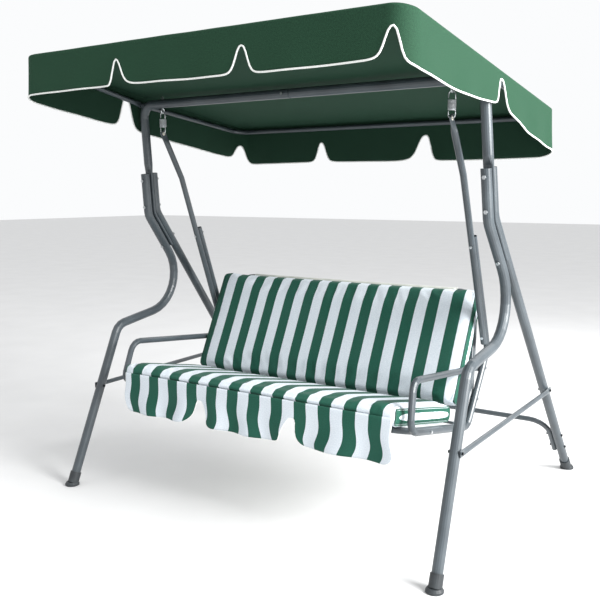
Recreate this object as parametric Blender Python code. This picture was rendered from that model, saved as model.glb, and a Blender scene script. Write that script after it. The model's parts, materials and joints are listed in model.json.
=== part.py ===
"""Canopy swing bench: tube frame on four legs, spring-hung seat, tilting fabric canopy.

Metres, +Z up, +Y towards the back, +X towards the right-hand end as seen from the front.
The origin lies on the floor, in the middle of the whole bench.
"""
import math

import bmesh
import bpy
from mathutils import Matrix, Vector

for old in list(bpy.data.objects):
    bpy.data.objects.remove(old, do_unlink=True)

# ---------------------------------------------------------------- driving dimensions
FIT = 0.0003              # gap between faces that touch
CHORD_ERROR = 0.0010      # most that a faceted bend cuts inside the true arc
HOLE_CLEARANCE = 0.0005   # radial, bolt in hole

FOOT_SPACING = 1.700      # between the front foot centres, also the rear ones
POST_SPACING = 1.592      # between the uprights at beam height
BEAM_CORNER_RADIUS = 0.060
SLEEVE_LENGTH = 0.186     # height of the part where legs and upright are bolted together
KNEE_Z = 1.145            # bend below the sleeve
UPRIGHT_RISE = 0.302      # beam axis above the leg tops
SLEEVE_LEAN = math.radians(6.8)
LEG_RAKE = math.radians(37.85)

LEG_D = 0.038
LEG_WALL = 0.0015
TONGUE = 0.013            # pressed end of the upright between the two legs
FRONT_FOOT_Y = -0.439
FRONT_RAKE = math.radians(22.2)
LOWER_BEND_Z = 0.664
RUN_RISE = math.radians(9.7)
KNEE_RADIUS = 0.065
S_RADIUS = 0.170
LOWER_RADIUS = 0.065

CAP_LIP = 0.011           # rim of the cap outside the leg tube
CAP_RIM_H = 0.007
CAP_SLEEVE = 0.042
CAP_WALL = 0.0035
CAP_FLOOR = 0.006

BRACE_D = 0.019
BRACE_FRONT_Z = 0.407
BRACE_REAR_Z = 0.432
CROSS_D = 0.022
CROSS_Z = 0.259
CROSS_RADIUS = 0.080
CROSS_END_Z = 0.107
CROSS_BOLT_Z = (0.193, 0.130)

BOLT_D = 0.008
SMALL_BOLT_D = 0.006

SEAT_INSET = 0.116        # plane of spring, hanger and side frame, inside the upright
SPRING_WIRE = 0.004
SPRING_OD = 0.030
SPRING_TURNS = 8
SPRING_GAP = 0.0007       # between the coils
SPRING_TOP_LOOP = 0.016   # straight part of the top loop
SPRING_LOW_LOOP = 0.015
EYE_WIRE = 0.006
EYE_MID_D = 0.018          # ring of the eye bolt, to the middle of its wire
EYE_SHANK_D = 0.008

SEAT_TUBE_D = 0.025
SEAT_WALL = 0.0012
FLAT = 0.005              # thickness of a pressed tube end
HANGER_BEND = (0.1142, -0.192)   # from the hook eye, back and down
HANGER_LEAN = math.radians(20.7)
HANGER_LENGTH = 0.700
HANGER_LAP_TOP = 0.250    # side frame starts this far down the hanger's long part
ELBOW_DROP = 0.740        # elbow of the side frame, down the hanger's long part
LOWER_LEAN = math.radians(34.0)
SIDE_CORNER_DROP = 0.278  # height from elbow to seat corner
SEAT_RAKE = math.radians(11.3)
SIDE_DEPTH = 0.489        # seat corner to front corner, along y
ARM_BACK_LEAN = 0.050     # front bend of the armrest lies this far behind the front corner
ARM_HEIGHT = 0.168
ARM_SLOPE = math.radians(5.5)
ARM_PAST_BOLT = 0.013
SIDE_RADIUS = 0.050

BASKET_FRONT = 0.015      # front rail behind the armrest's front corner
BASKET_RADIUS = 0.070
BACK_KINK_RISE = 0.128    # kink of the back hoop above the seat corner
BACK_TOP_RISE = 0.493     # top rail above the seat corner
BACK_TOP_SET = 0.248      # top rail behind the seat corner
BACK_NARROWING = 0.055
ROD_D = 0.012
SLING_T = 0.0015
SLING_INSET = 0.080       # sling edge inside the basket's side tube

SEAT_CUSHION_GAP = 0.0069  # cushion end to armrest tube
SEAT_CUSHION_SIZE = (0.470, 0.075)
BACK_CUSHION_GAP = 0.0019
BACK_CUSHION_SIZE = (0.478, 0.088)
BACK_CUSHION_LEAN = math.radians(26.0)
BACK_CUSHION_FOOT = (0.0334, 0.0535)   # foot on the sling, from the corner of the basket's tube
SKIRT_SIZE = (0.130, 0.002)
SKIRT_INSET = 0.016       # skirt end inside the cushion end
SKIRT_NOTCH_X = 0.220

CANOPY_SIDE_GAP = 0.0029  # cover to the nearest of upright and tilt screw
CANOPY_FRONT = -0.622     # canopy front edge from the beam axis
CANOPY_REAR = 0.712
CANOPY_FRONT_RISE = 0.135 # canopy top edge above the beam axis, front and rear
CANOPY_REAR_RISE = -0.069
CANOPY_CORNER = 0.070
CANOPY_T = 0.0015
VALANCE_FRONT = 0.150
VALANCE_REAR = 0.172
CANOPY_TUBE_D = 0.020
SIDE_VALANCE_DROP = 0.115 # side valance's foot below the beam axis, at the uprights
BOSS_DROP = 0.035         # height over which the canopy's pressed ends pass the bow's bend
BOSS_SET = 0.01366        # pivot boss outer face inside the bow's outer side at that depth
SCREW_HEAD = 0.0052       # thumb screw head thickness
SCREW_HEAD_R = 0.012

# ---------------------------------------------------------------- derived places
FOOT_HALF = FOOT_SPACING / 2
LEG_TOP_Z = KNEE_Z + SLEEVE_LENGTH
BEAM_Z = LEG_TOP_Z + UPRIGHT_RISE
SPLAY = (FOOT_HALF - POST_SPACING / 2) / BEAM_Z
LEG_R = LEG_D / 2
LEG_STEP = LEG_D + TONGUE + 2 * FIT      # front leg axis to rear leg axis
KNEE_Y = SLEEVE_LENGTH * math.tan(SLEEVE_LEAN)


def yz(angle):
    """Unit direction in the side view, tilted back from straight down."""
    return Vector((math.sin(angle), -math.cos(angle)))


def meet(p, d, q, e):
    """Point where the line p + t d meets the line q + s e in the side view."""
    det = d.x * -e.y + e.x * d.y
    t = ((q.x - p.x) * -e.y + e.x * (q.y - p.y)) / det
    return p + d * t


def offset_knee(step):
    """Knee of a line that runs parallel to the front leg, step behind it."""
    a = Vector((math.cos(SLEEVE_LEAN), math.sin(SLEEVE_LEAN)))
    b = Vector((math.cos(LEG_RAKE), math.sin(LEG_RAKE)))
    return Vector((KNEE_Y, KNEE_Z)) + (a + b) * (step / (1 + a.dot(b)))


FRONT_KNEE = Vector((KNEE_Y, KNEE_Z))
REAR_KNEE = offset_knee(LEG_STEP)
MID_KNEE = offset_knee(LEG_STEP / 2)
SLEEVE_DIR = yz(SLEEVE_LEAN)
RAKE_DIR = yz(LEG_RAKE)
SLEEVE_UP = SLEEVE_LENGTH / math.cos(SLEEVE_LEAN)
REAR_FOOT_Y = REAR_KNEE.x + REAR_KNEE.y * math.tan(LEG_RAKE)
MID_TOP = MID_KNEE - SLEEVE_DIR * (BEAM_Z - MID_KNEE.y) / math.cos(SLEEVE_LEAN)
BEAM_Y = MID_TOP.x
POST_HALF = POST_SPACING / 2
SEAT_HALF = POST_HALF - SEAT_INSET
CAP_RIM_D = LEG_D + 2 * CAP_LIP
SPRING_PITCH = SPRING_WIRE + SPRING_GAP
SEAT_R = SEAT_TUBE_D / 2
ARM_IN = SEAT_R + 2 * FIT + FLAT / 2
ARM_FACE = SEAT_HALF - ARM_IN - SEAT_R
PIVOT_FACE = POST_HALF + LEG_R + SPLAY * BOSS_DROP - BOSS_SET   # inner face of the first pressed end
SCREW_FACE = PIVOT_FACE + 2 * FLAT + 4 * FIT
VALANCE_LOW_Z = BEAM_Z - SIDE_VALANCE_DROP
POST_OUTER = FOOT_HALF - SPLAY * VALANCE_LOW_Z + LEG_R
CANOPY_HALF = max(SCREW_FACE + SCREW_HEAD, POST_OUTER) + CANOPY_SIDE_GAP + CANOPY_T
SEAT_CUSHION = (2 * (ARM_FACE - SEAT_CUSHION_GAP), *SEAT_CUSHION_SIZE)
BACK_CUSHION = (2 * (ARM_FACE - BACK_CUSHION_GAP), *BACK_CUSHION_SIZE)
SKIRT = (SEAT_CUSHION[0] - 2 * SKIRT_INSET, *SKIRT_SIZE)

CANOPY_Y0 = BEAM_Y + CANOPY_FRONT
ORIGIN_Y = (CANOPY_Y0 + REAR_FOOT_Y + CAP_RIM_D / 2) / 2


def at(x, y, z):
    """A point of the bench, moved so that the origin lies in its middle."""
    return Vector((x, y - ORIGIN_Y, z))


def leaned(side, p):
    """A side-view point on the leaning plane of the legs."""
    return at(side * (FOOT_HALF - SPLAY * p.y), p.x, p.y)


# ---------------------------------------------------------------- shared modelling steps
MATERIALS = {}


def paint(obj, name, colour, rough, metal=0.0):
    if name not in MATERIALS:
        mat = bpy.data.materials.new(name)
        mat.use_nodes = True
        bsdf = mat.node_tree.nodes["Principled BSDF"]
        bsdf.inputs["Base Color"].default_value = (*colour, 1.0)
        bsdf.inputs["Roughness"].default_value = rough
        bsdf.inputs["Metallic"].default_value = metal
        mat.diffuse_color = (*colour, 1.0)
        MATERIALS[name] = mat
    obj.data.materials.clear()
    obj.data.materials.append(MATERIALS[name])


def frame_green(obj):
    paint(obj, "frame_enamel", (0.045, 0.062, 0.064), 0.38, 0.0)


def zinc(obj):
    paint(obj, "zinc_steel", (0.62, 0.64, 0.66), 0.35, 1.0)


def add_object(name, bm, smooth=True, cavity=()):
    """Object from bm, faces out; cavity lists the faces of an inner wall, which face in."""
    bmesh.ops.recalc_face_normals(bm, faces=bm.faces)
    bmesh.ops.reverse_faces(bm, faces=list(cavity))
    mesh = bpy.data.meshes.new(name)
    bm.to_mesh(mesh)
    bm.free()
    if smooth:
        mesh.shade_smooth()
        mesh.set_sharp_from_angle(angle=math.radians(38))
    obj = bpy.data.objects.new(name, mesh)
    bpy.context.scene.collection.objects.link(obj)
    return obj


def cut(obj, cutter, operation="DIFFERENCE"):
    """Boolean with a closed cutter, which is then taken away."""
    mod = obj.modifiers.new("cut", "BOOLEAN")
    mod.object = cutter
    mod.operation = operation
    mod.solver = "EXACT"
    bpy.context.view_layer.update()
    graph = bpy.context.evaluated_depsgraph_get()
    mesh = bpy.data.meshes.new_from_object(obj.evaluated_get(graph))
    obj.modifiers.clear()
    obj.data = mesh
    mesh.shade_smooth()
    mesh.set_sharp_from_angle(angle=math.radians(38))
    bpy.data.objects.remove(cutter, do_unlink=True)


def facing(direction):
    """Rotation that turns +Z into direction."""
    return Vector(direction).to_track_quat("Z", "Y").to_matrix().to_4x4()


def lathe(name, rings, centre, direction, segments=12):
    """Solid of (height, radius) rings on an axis."""
    bm = bmesh.new()
    turn = Matrix.Translation(centre) @ facing(direction)
    loops = []
    for height, radius in rings:
        loop = []
        for k in range(segments):
            angle = 2 * math.pi * k / segments
            spot = Vector((radius * math.cos(angle), radius * math.sin(angle), height))
            loop.append(bm.verts.new(turn @ spot))
        loops.append(loop)
    for a, b in zip(loops, loops[1:]):
        for k in range(segments):
            m = (k + 1) % segments
            bm.faces.new((a[k], a[m], b[m], b[k]))
    bm.faces.new(loops[0][::-1])
    bm.faces.new(loops[-1])
    return add_object(name, bm)


def drill(obj, centre, direction, radius, reach):
    """Round hole through obj, reach to each side of centre."""
    cutter = lathe("drill", [(-reach, radius), (reach, radius)], centre, direction, 8)
    cut(obj, cutter)


def rounded(corners, radii):
    """Points along a bent line: straight runs and round bends of the given radii."""
    points = [corners[0]]
    for k in range(1, len(corners) - 1):
        p = corners[k]
        a = (corners[k - 1] - p).normalized()
        b = (corners[k + 1] - p).normalized()
        half = a.angle(b) / 2
        radius = radii[k - 1]
        run = radius / math.tan(half)
        centre = p + (a + b).normalized() * (radius / math.sin(half))
        start = p + a * run - centre
        end = p + b * run - centre
        total = start.angle(end)
        steps = max(2, math.ceil(total / (2 * math.acos(1 - CHORD_ERROR / radius))))
        axis = start.cross(end).normalized()
        for i in range(steps + 1):
            points.append(centre + Matrix.Rotation(total * i / steps, 3, axis) @ start)
    points.append(corners[-1])
    return points


def stations(points, marks):
    """Path points with extra ones at the marked distances, and each one's distance."""
    distance = [0.0]
    for a, b in zip(points, points[1:]):
        distance.append(distance[-1] + (b - a).length)
    rows = list(zip(distance, points))
    for mark in marks:
        for (s0, p0), (s1, p1) in zip(list(rows), list(rows)[1:]):
            if s0 + 1e-5 < mark < s1 - 1e-5:
                rows.append((mark, p0.lerp(p1, (mark - s0) / (s1 - s0))))
                break
        rows.sort(key=lambda row: row[0])
    return rows


def power(value, n):
    return math.copysign(abs(value) ** (2.0 / n), value)


def tube(name, points, radius, wall, reference, segments=12, shape=None, closed=False, skip=2):
    """Swept tube. shape lists (distance, half size along reference, half size across, squareness);
    between the entries the section changes evenly. wall of None gives a solid rod. The bore has
    one side for every skip sides of the outer face."""
    if shape is None:
        shape = []
    rows = stations(points, [row[0] for row in shape])
    bm = bmesh.new()
    outer, inner = [], []
    count = len(rows)
    for i, (s, p) in enumerate(rows):
        if closed:
            before, after = rows[i - 1][1], rows[(i + 1) % count][1]
        else:
            before, after = rows[max(i - 1, 0)][1], rows[min(i + 1, count - 1)][1]
        t_in = (p - before).normalized() if before != p else (after - p).normalized()
        t_out = (after - p).normalized() if after != p else t_in
        tangent = (t_in + t_out).normalized()
        stretch = 1 / max(tangent.dot(t_out), 0.5)
        u = (reference - tangent * reference.dot(tangent)).normalized()
        v = tangent.cross(u)
        bend = (t_out - t_in)
        bend = bend - tangent * bend.dot(tangent)
        hu, hv, n = radius, radius, 2.0
        if shape:
            if s <= shape[0][0]:
                hu, hv, n = shape[0][1:]
            elif s >= shape[-1][0]:
                hu, hv, n = shape[-1][1:]
            else:
                for a, b in zip(shape, shape[1:]):
                    if a[0] <= s <= b[0]:
                        w = (s - a[0]) / (b[0] - a[0])
                        hu, hv, n = [x + (y - x) * w for x, y in zip(a[1:], b[1:])]
                        break
        for shell, less, step in ((outer, 0.0, 1), (inner, wall, skip)):
            if less is None:
                continue
            ring = []
            for k in range(0, segments, step):
                angle = 2 * math.pi * k / segments
                d = u * power(math.cos(angle), n) * (hu - less) + v * power(math.sin(angle), n) * (hv - less)
                if bend.length > 1e-6:
                    axis = bend.normalized()
                    d = d + axis * d.dot(axis) * (stretch - 1)
                ring.append(bm.verts.new(p + d))
            shell.append(ring)
    spans = list(zip(range(count), range(1, count)))
    if closed:
        spans.append((count - 1, 0))
    lining = []
    for shell in (outer, inner):
        if not shell:
            continue
        sides = len(shell[0])
        for i, j in spans:
            for k in range(sides):
                m = (k + 1) % sides
                face = bm.faces.new((shell[i][k], shell[i][m], shell[j][m], shell[j][k]))
                if closed and shell is inner:
                    lining.append(face)
    if not closed:
        for end in (0, -1):
            if inner:
                for k in range(len(inner[end])):
                    m = (k + 1) % len(inner[end])
                    rim = [outer[end][(k * skip + i) % segments] for i in range(skip + 1)]
                    bm.faces.new([*rim, inner[end][m], inner[end][k]])
            else:
                bm.faces.new(outer[end])
    return add_object(name, bm, cavity=lining)


def bolt(name, face, direction, grip, diameter):
    """Hex bolt with its nut: face is where the head bears, direction runs to the nut."""
    r = diameter / 2
    rings = [(-0.65 * diameter, 0.95 * diameter), (-FIT, 0.95 * diameter), (-FIT, r),
             (grip + FIT, r), (grip + FIT, 0.92 * diameter), (grip + FIT + 0.75 * diameter, 0.92 * diameter)]
    obj = lathe(name, rings, face, direction, 6)
    zinc(obj)
    return obj


def soft_box(name, size, turn, bevel, colour):
    """Plain cushion body with rounded edges."""
    bm = bmesh.new()
    bmesh.ops.create_cube(bm, size=1.0)
    bmesh.ops.scale(bm, vec=size, verts=bm.verts)
    bmesh.ops.bevel(bm, geom=bm.edges[:], offset=bevel, segments=2, profile=0.5, affect="EDGES")
    bmesh.ops.transform(bm, matrix=turn, verts=bm.verts)
    obj = add_object(name, bm)
    paint(obj, "striped_canvas", colour, 0.85)
    return obj


SIDES = (("left", -1), ("right", 1))
X = Vector((1, 0, 0))
Y = Vector((0, 1, 0))
Z = Vector((0, 0, 1))

# ---------------------------------------------------------------- legs and their caps
run_dir = Vector((math.cos(RUN_RISE), math.sin(RUN_RISE)))
FRONT_LOW = Vector((FRONT_FOOT_Y + LOWER_BEND_Z * math.tan(FRONT_RAKE), LOWER_BEND_Z))
S_CORNER = meet(FRONT_LOW, run_dir, FRONT_KNEE, RAKE_DIR)
FRONT_TOP = FRONT_KNEE - SLEEVE_DIR * SLEEVE_UP
REAR_TOP = REAR_KNEE - SLEEVE_DIR * (LEG_TOP_Z + 0.006 - REAR_KNEE.y) / math.cos(SLEEVE_LEAN)

legs = {}
for word, side in SIDES:
    for place, foot_y, low, others, radii in (
            ("front", FRONT_FOOT_Y, FRONT_LOW, [S_CORNER, FRONT_KNEE, FRONT_TOP],
             [LOWER_RADIUS, S_RADIUS, KNEE_RADIUS]),
            ("rear", REAR_FOOT_Y, REAR_KNEE, [REAR_TOP], [KNEE_RADIUS])):
        foot = leaned(side, Vector((foot_y, 0.0)))
        up = (leaned(side, low) - foot).normalized()
        tilt = math.sqrt(1 - up.z ** 2)
        rise = CAP_FLOOR + FIT + LEG_R * tilt
        end = foot + up * (rise / up.z)
        corners = [end, leaned(side, low)] + [leaned(side, p) for p in others]
        leg = tube(f"{place}_leg_{word}", rounded(corners, radii), LEG_R, LEG_WALL, X, 16)
        frame_green(leg)
        legs[place, word] = leg

        cap = lathe(f"foot_cap_{place}_{word}",
                    [(0.0, CAP_RIM_D / 2), (CAP_RIM_H, CAP_RIM_D / 2),
                     (CAP_RIM_H + 0.008, CAP_RIM_D / 2 - CAP_LIP * 0.55)], foot, Z, 20)
        sleeve_r = LEG_R + FIT + CAP_WALL
        cut(cap, lathe("sleeve", [(-0.004, sleeve_r), (CAP_SLEEVE, sleeve_r)], end, up, 20), "UNION")
        cut(cap, lathe("socket", [(-FIT, LEG_R + FIT * 1.6), (0.2, LEG_R + FIT * 1.6)], end, up, 20))
        paint(cap, "foot_rubber", (0.02, 0.021, 0.022), 0.7)

# ---------------------------------------------------------------- top bows with pressed tongues
LEG_BOLT_HEIGHT = (-0.029, -0.148)       # along the sleeve, down from the leg top
THIRD_BOLT = 0.171                       # along the raked part, below the knee
TONGUE_PAST = 0.018
bows = {}
lap_end = -0.060
for word, side in SIDES:
    low = leaned(side, MID_KNEE + RAKE_DIR * (THIRD_BOLT + TONGUE_PAST))
    knee = leaned(side, MID_KNEE)
    corner = at(side * POST_HALF, BEAM_Y, BEAM_Z)
    middle = at(0.0, BEAM_Y, BEAM_Z)
    if side > 0:
        middle = at(lap_end, BEAM_Y, BEAM_Z)
    path = rounded([low, knee, corner, middle], [KNEE_RADIUS, BEAM_CORNER_RADIUS])
    top_of_leg = leaned(side, MID_KNEE - SLEEVE_DIR * (SLEEVE_UP + 0.004))
    flat_to = (knee - low).length + (top_of_leg - knee).length - 0.002
    shape = [(0.0, TONGUE / 2, LEG_R, 4.5), (flat_to, TONGUE / 2, LEG_R, 4.5),
             (flat_to + 0.032, LEG_R, LEG_R, 2.0)]
    if side > 0:
        length = sum((b - a).length for a, b in zip(path, path[1:]))
        plug = LEG_R - LEG_WALL - FIT
        shape += [(length + lap_end - 0.004, LEG_R, LEG_R, 2.0), (length + lap_end, plug, plug, 2.0),
                  (length, plug, plug, 2.0)]
    bow = tube(f"top_bow_{word}", path, LEG_R, LEG_WALL, Y, 16, shape, skip=1)
    frame_green(bow)
    bows[word] = bow

# the beam bolt holds the plugged joint in the middle of the beam
beam_bolt_at = at(lap_end / 2, BEAM_Y, BEAM_Z)
for word, side in SIDES:
    drill(bows[word], beam_bolt_at, Y, SMALL_BOLT_D / 2 + HOLE_CLEARANCE, LEG_R + 0.01)
bolt("beam_bolt", beam_bolt_at - Y * (LEG_R + FIT), Y, LEG_D + 2 * FIT, SMALL_BOLT_D)

# ---------------------------------------------------------------- leg bolts
for word, side in SIDES:
    knee = leaned(side, FRONT_KNEE)
    sleeve_up = (leaned(side, FRONT_TOP) - knee).normalized()
    rake_down = (leaned(side, FRONT_KNEE + RAKE_DIR) - knee).normalized()
    across = (Y - sleeve_up * Y.dot(sleeve_up)).normalized()
    behind = (Y - rake_down * Y.dot(rake_down)).normalized()
    spots = [(leaned(side, FRONT_TOP) + sleeve_up * h, across) for h in LEG_BOLT_HEIGHT]
    spots.append((knee + rake_down * THIRD_BOLT, behind))
    for number, (spot, direction) in enumerate(spots, 1):
        centre = spot + direction * (LEG_STEP / 2)
        reach = LEG_STEP / 2 + LEG_R + 0.01
        for piece in (legs["front", word], legs["rear", word], bows[word]):
            drill(piece, centre, direction, BOLT_D / 2 + HOLE_CLEARANCE, reach)
        bolt(f"leg_bolt_{number}_{word}", spot - direction * (LEG_R + FIT), direction,
             LEG_STEP + LEG_D + 2 * FIT, BOLT_D)


def leg_point(side, place, z):
    """Point on the axis of the lower straight run of a leg."""
    if place == "front":
        return leaned(side, Vector((FRONT_FOOT_Y + z * math.tan(FRONT_RAKE), z)))
    return leaned(side, Vector((REAR_FOOT_Y - z * math.tan(LEG_RAKE), z)))


# ---------------------------------------------------------------- side braces
for word, side in SIDES:
    out = side * (LEG_R + 2 * FIT + FLAT / 2)
    a = leg_point(side, "front", BRACE_FRONT_Z) + X * out
    b = leg_point(side, "rear", BRACE_REAR_Z) + X * out
    along = (b - a).normalized()
    start, end = a - along * 0.012, b + along * 0.012
    length = (end - start).length
    flat = (FLAT / 2, BRACE_D * 0.66, 4.0)
    full = (BRACE_D / 2, BRACE_D / 2, 2.0)
    shape = [(0.0, *flat), (0.030, *flat), (0.055, *full),
             (length - 0.055, *full), (length - 0.030, *flat), (length, *flat)]
    brace = tube(f"side_brace_{word}", [start, end], BRACE_D / 2, 0.001, X, 12, shape)
    frame_green(brace)
    for place, spot in (("front", a), ("rear", b)):
        head = spot - X * (out + side * (LEG_R + FIT))
        drill(brace, spot, X, SMALL_BOLT_D / 2 + HOLE_CLEARANCE, 0.01)
        drill(legs[place, word], spot - X * out, X, SMALL_BOLT_D / 2 + HOLE_CLEARANCE, LEG_R + 0.004)
        bolt(f"brace_bolt_{place}_{word}", head, X * side, LEG_D + 3 * FIT + FLAT, SMALL_BOLT_D)

# ---------------------------------------------------------------- rear cross tube
cross_in = LEG_R + 2 * FIT + CROSS_D / 2
ends = []
for word, side in SIDES:
    top = leg_point(side, "rear", CROSS_Z) - X * side * cross_in
    low = leg_point(side, "rear", CROSS_END_Z) - X * side * cross_in
    ends.append((low, top))
path = rounded([ends[0][0], ends[0][1], ends[1][1], ends[1][0]], [CROSS_RADIUS, CROSS_RADIUS])
leg_line = (ends[0][1] - ends[0][0]).normalized()
cross = tube("rear_cross_tube", path, CROSS_D / 2, 0.001, Y - leg_line * Y.dot(leg_line), 12)
frame_green(cross)
for word, side in SIDES:
    for number, z in enumerate(CROSS_BOLT_Z, 1):
        spot = leg_point(side, "rear", z)
        inner = spot - X * side * (cross_in + CROSS_D / 2 + 2 * FIT)
        for piece in (cross, legs["rear", word]):
            drill(piece, spot - X * side * (cross_in / 2), X, SMALL_BOLT_D / 2 + HOLE_CLEARANCE, 0.048)
        bolt(f"cross_bolt_{number}_{word}", inner, X * side, CROSS_D + LEG_D + 4 * FIT, SMALL_BOLT_D)

# ---------------------------------------------------------------- eye bolts, springs, bushes
COIL_R = (SPRING_OD - SPRING_WIRE) / 2
WIRE_R = SPRING_WIRE / 2
RING_Z = BEAM_Z - LEG_R - FIT - EYE_MID_D / 2 - EYE_WIRE / 2
HOOK_TOP_Z = RING_Z - EYE_MID_D / 2 + EYE_WIRE / 2 + WIRE_R + FIT
COIL_TOP_Z = HOOK_TOP_Z - COIL_R - SPRING_TOP_LOOP
COIL_LOW_Z = COIL_TOP_Z - SPRING_TURNS * SPRING_PITCH
HOOK_LOW_Z = COIL_LOW_Z - SPRING_LOW_LOOP - COIL_R
BUSH_BORE = WIRE_R + 0.0009
BUSH_R = 0.0052
BUSH_HALF = FLAT / 2 + FIT
EYE_Z = HOOK_LOW_Z + 0.0003


def spring_path(side):
    """Top loop, close coils, bottom loop; both loops lie across the bench."""
    x0 = side * SEAT_HALF
    points = [at(x0 - COIL_R, BEAM_Y, COIL_TOP_Z + WIRE_R + 0.003)]
    for k in range(8):
        a = math.pi - math.pi * k / 7
        points.append(at(x0 + COIL_R * math.cos(a), BEAM_Y, HOOK_TOP_Z - COIL_R + COIL_R * math.sin(a)))
    points.append(at(x0 + COIL_R, BEAM_Y, COIL_TOP_Z + 0.006))
    steps = 8
    for k in range(1, SPRING_TURNS * steps):
        a = 2 * math.pi * k / steps
        points.append(at(x0 + COIL_R * math.cos(a), BEAM_Y + COIL_R * math.sin(a),
                         COIL_TOP_Z - SPRING_PITCH * k / steps))
    points.append(at(x0 + COIL_R, BEAM_Y, COIL_LOW_Z - 0.006))
    for k in range(8):
        a = -math.pi * k / 7
        points.append(at(x0 + COIL_R * math.cos(a), BEAM_Y, HOOK_LOW_Z + COIL_R + COIL_R * math.sin(a)))
    points.append(at(x0 - COIL_R, BEAM_Y, COIL_LOW_Z - WIRE_R - 0.003))
    return points


def carried_rod(name, points, radius, segments):
    """Solid wire along a space curve, the section carried along without twist."""
    bm = bmesh.new()
    rings = []
    u = None
    for i, p in enumerate(points):
        t = (points[min(i + 1, len(points) - 1)] - points[max(i - 1, 0)]).normalized()
        u = Y if u is None else u
        u = (u - t * u.dot(t)).normalized()
        v = t.cross(u)
        rings.append([bm.verts.new(p + (u * math.cos(2 * math.pi * k / segments)
                                        + v * math.sin(2 * math.pi * k / segments)) * radius)
                      for k in range(segments)])
    for a, b in zip(rings, rings[1:]):
        for k in range(segments):
            m = (k + 1) % segments
            bm.faces.new((a[k], a[m], b[m], b[k]))
    bm.faces.new(rings[0])
    bm.faces.new(rings[-1])
    return add_object(name, bm)


def eye_bolt(name, side):
    """Ring under the beam, its shank through the beam and a nut on top."""
    centre = at(side * SEAT_HALF, BEAM_Y, RING_Z)
    points = []
    for k in range(12):
        a = math.pi * (k + 0.5) / 6
        points.append(centre + Vector((0.0, math.cos(a), math.sin(a))) * (EYE_MID_D / 2))
    ring = tube(name, points, EYE_WIRE / 2, None, X, 8, closed=True)
    r = EYE_SHANK_D / 2
    seat = LEG_R + FIT
    rings = [(-seat - EYE_WIRE * 0.7, r), (seat, r), (seat, 0.0075), (seat + 0.0065, 0.0075),
             (seat + 0.0065, r), (seat + 0.0105, r)]
    cut(ring, lathe("shank", rings, at(side * SEAT_HALF, BEAM_Y, BEAM_Z), Z, 6), "UNION")
    return ring


for word, side in SIDES:
    zinc(eye_bolt(f"eye_bolt_{word}", side))
    drill(bows[word], at(side * SEAT_HALF, BEAM_Y, BEAM_Z), Z, EYE_SHANK_D / 2 + HOLE_CLEARANCE, LEG_R + 0.01)
    zinc(carried_rod(f"spring_{word}", spring_path(side), WIRE_R, 6))
    bm = bmesh.new()
    profile = [(-BUSH_HALF - 0.0012, BUSH_BORE), (-BUSH_HALF - 0.0012, 0.0076), (-BUSH_HALF, 0.0076),
               (-BUSH_HALF, BUSH_R), (BUSH_HALF, BUSH_R), (BUSH_HALF, 0.0076),
               (BUSH_HALF + 0.0012, 0.0076), (BUSH_HALF + 0.0012, BUSH_BORE)]
    eye = at(side * SEAT_HALF, BEAM_Y, EYE_Z)
    loops = []
    for k in range(12):
        a = 2 * math.pi * k / 12
        loops.append([bm.verts.new(eye + Vector((h, r * math.cos(a), r * math.sin(a)))) for h, r in profile])
    for i in range(12):
        for k in range(8):
            m = (k + 1) % 8
            bm.faces.new((loops[i][k], loops[i][m], loops[(i + 1) % 12][m], loops[(i + 1) % 12][k]))
    bush = add_object(f"hanger_bush_{word}", bm)
    paint(bush, "bush_nylon", (0.75, 0.74, 0.70), 0.5)

# ---------------------------------------------------------------- hangers and side frames
EYE = Vector((BEAM_Y, EYE_Z))
TOP_DIR = Vector(HANGER_BEND).normalized()
HANG_CORNER = EYE + Vector(HANGER_BEND)
LONG_DIR = yz(HANGER_LEAN)
LONG_NORMAL = Vector((math.cos(HANGER_LEAN), math.sin(HANGER_LEAN)))
LAP = LONG_NORMAL * (SEAT_TUBE_D + FIT)
ELBOW = HANG_CORNER + LAP + LONG_DIR * ELBOW_DROP
CORNER = ELBOW + Vector((-math.tan(LOWER_LEAN), -1.0)) * SIDE_CORNER_DROP
FRONT_CORNER = CORNER + Vector((-SIDE_DEPTH, SIDE_DEPTH * math.tan(SEAT_RAKE)))
ARM_FRONT = FRONT_CORNER + Vector((ARM_BACK_LEAN, ARM_HEIGHT))
ARM_DIR = Vector((math.cos(ARM_SLOPE), -math.sin(ARM_SLOPE)))
ARM_JOINT = meet(ARM_FRONT, ARM_DIR, CORNER, (ELBOW - CORNER).normalized())
ARM_END = ARM_JOINT + ARM_DIR * ARM_PAST_BOLT
BASKET_IN = SEAT_TUBE_D + FIT


def seat_at(x, p):
    return at(x, p.x, p.y)


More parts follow.
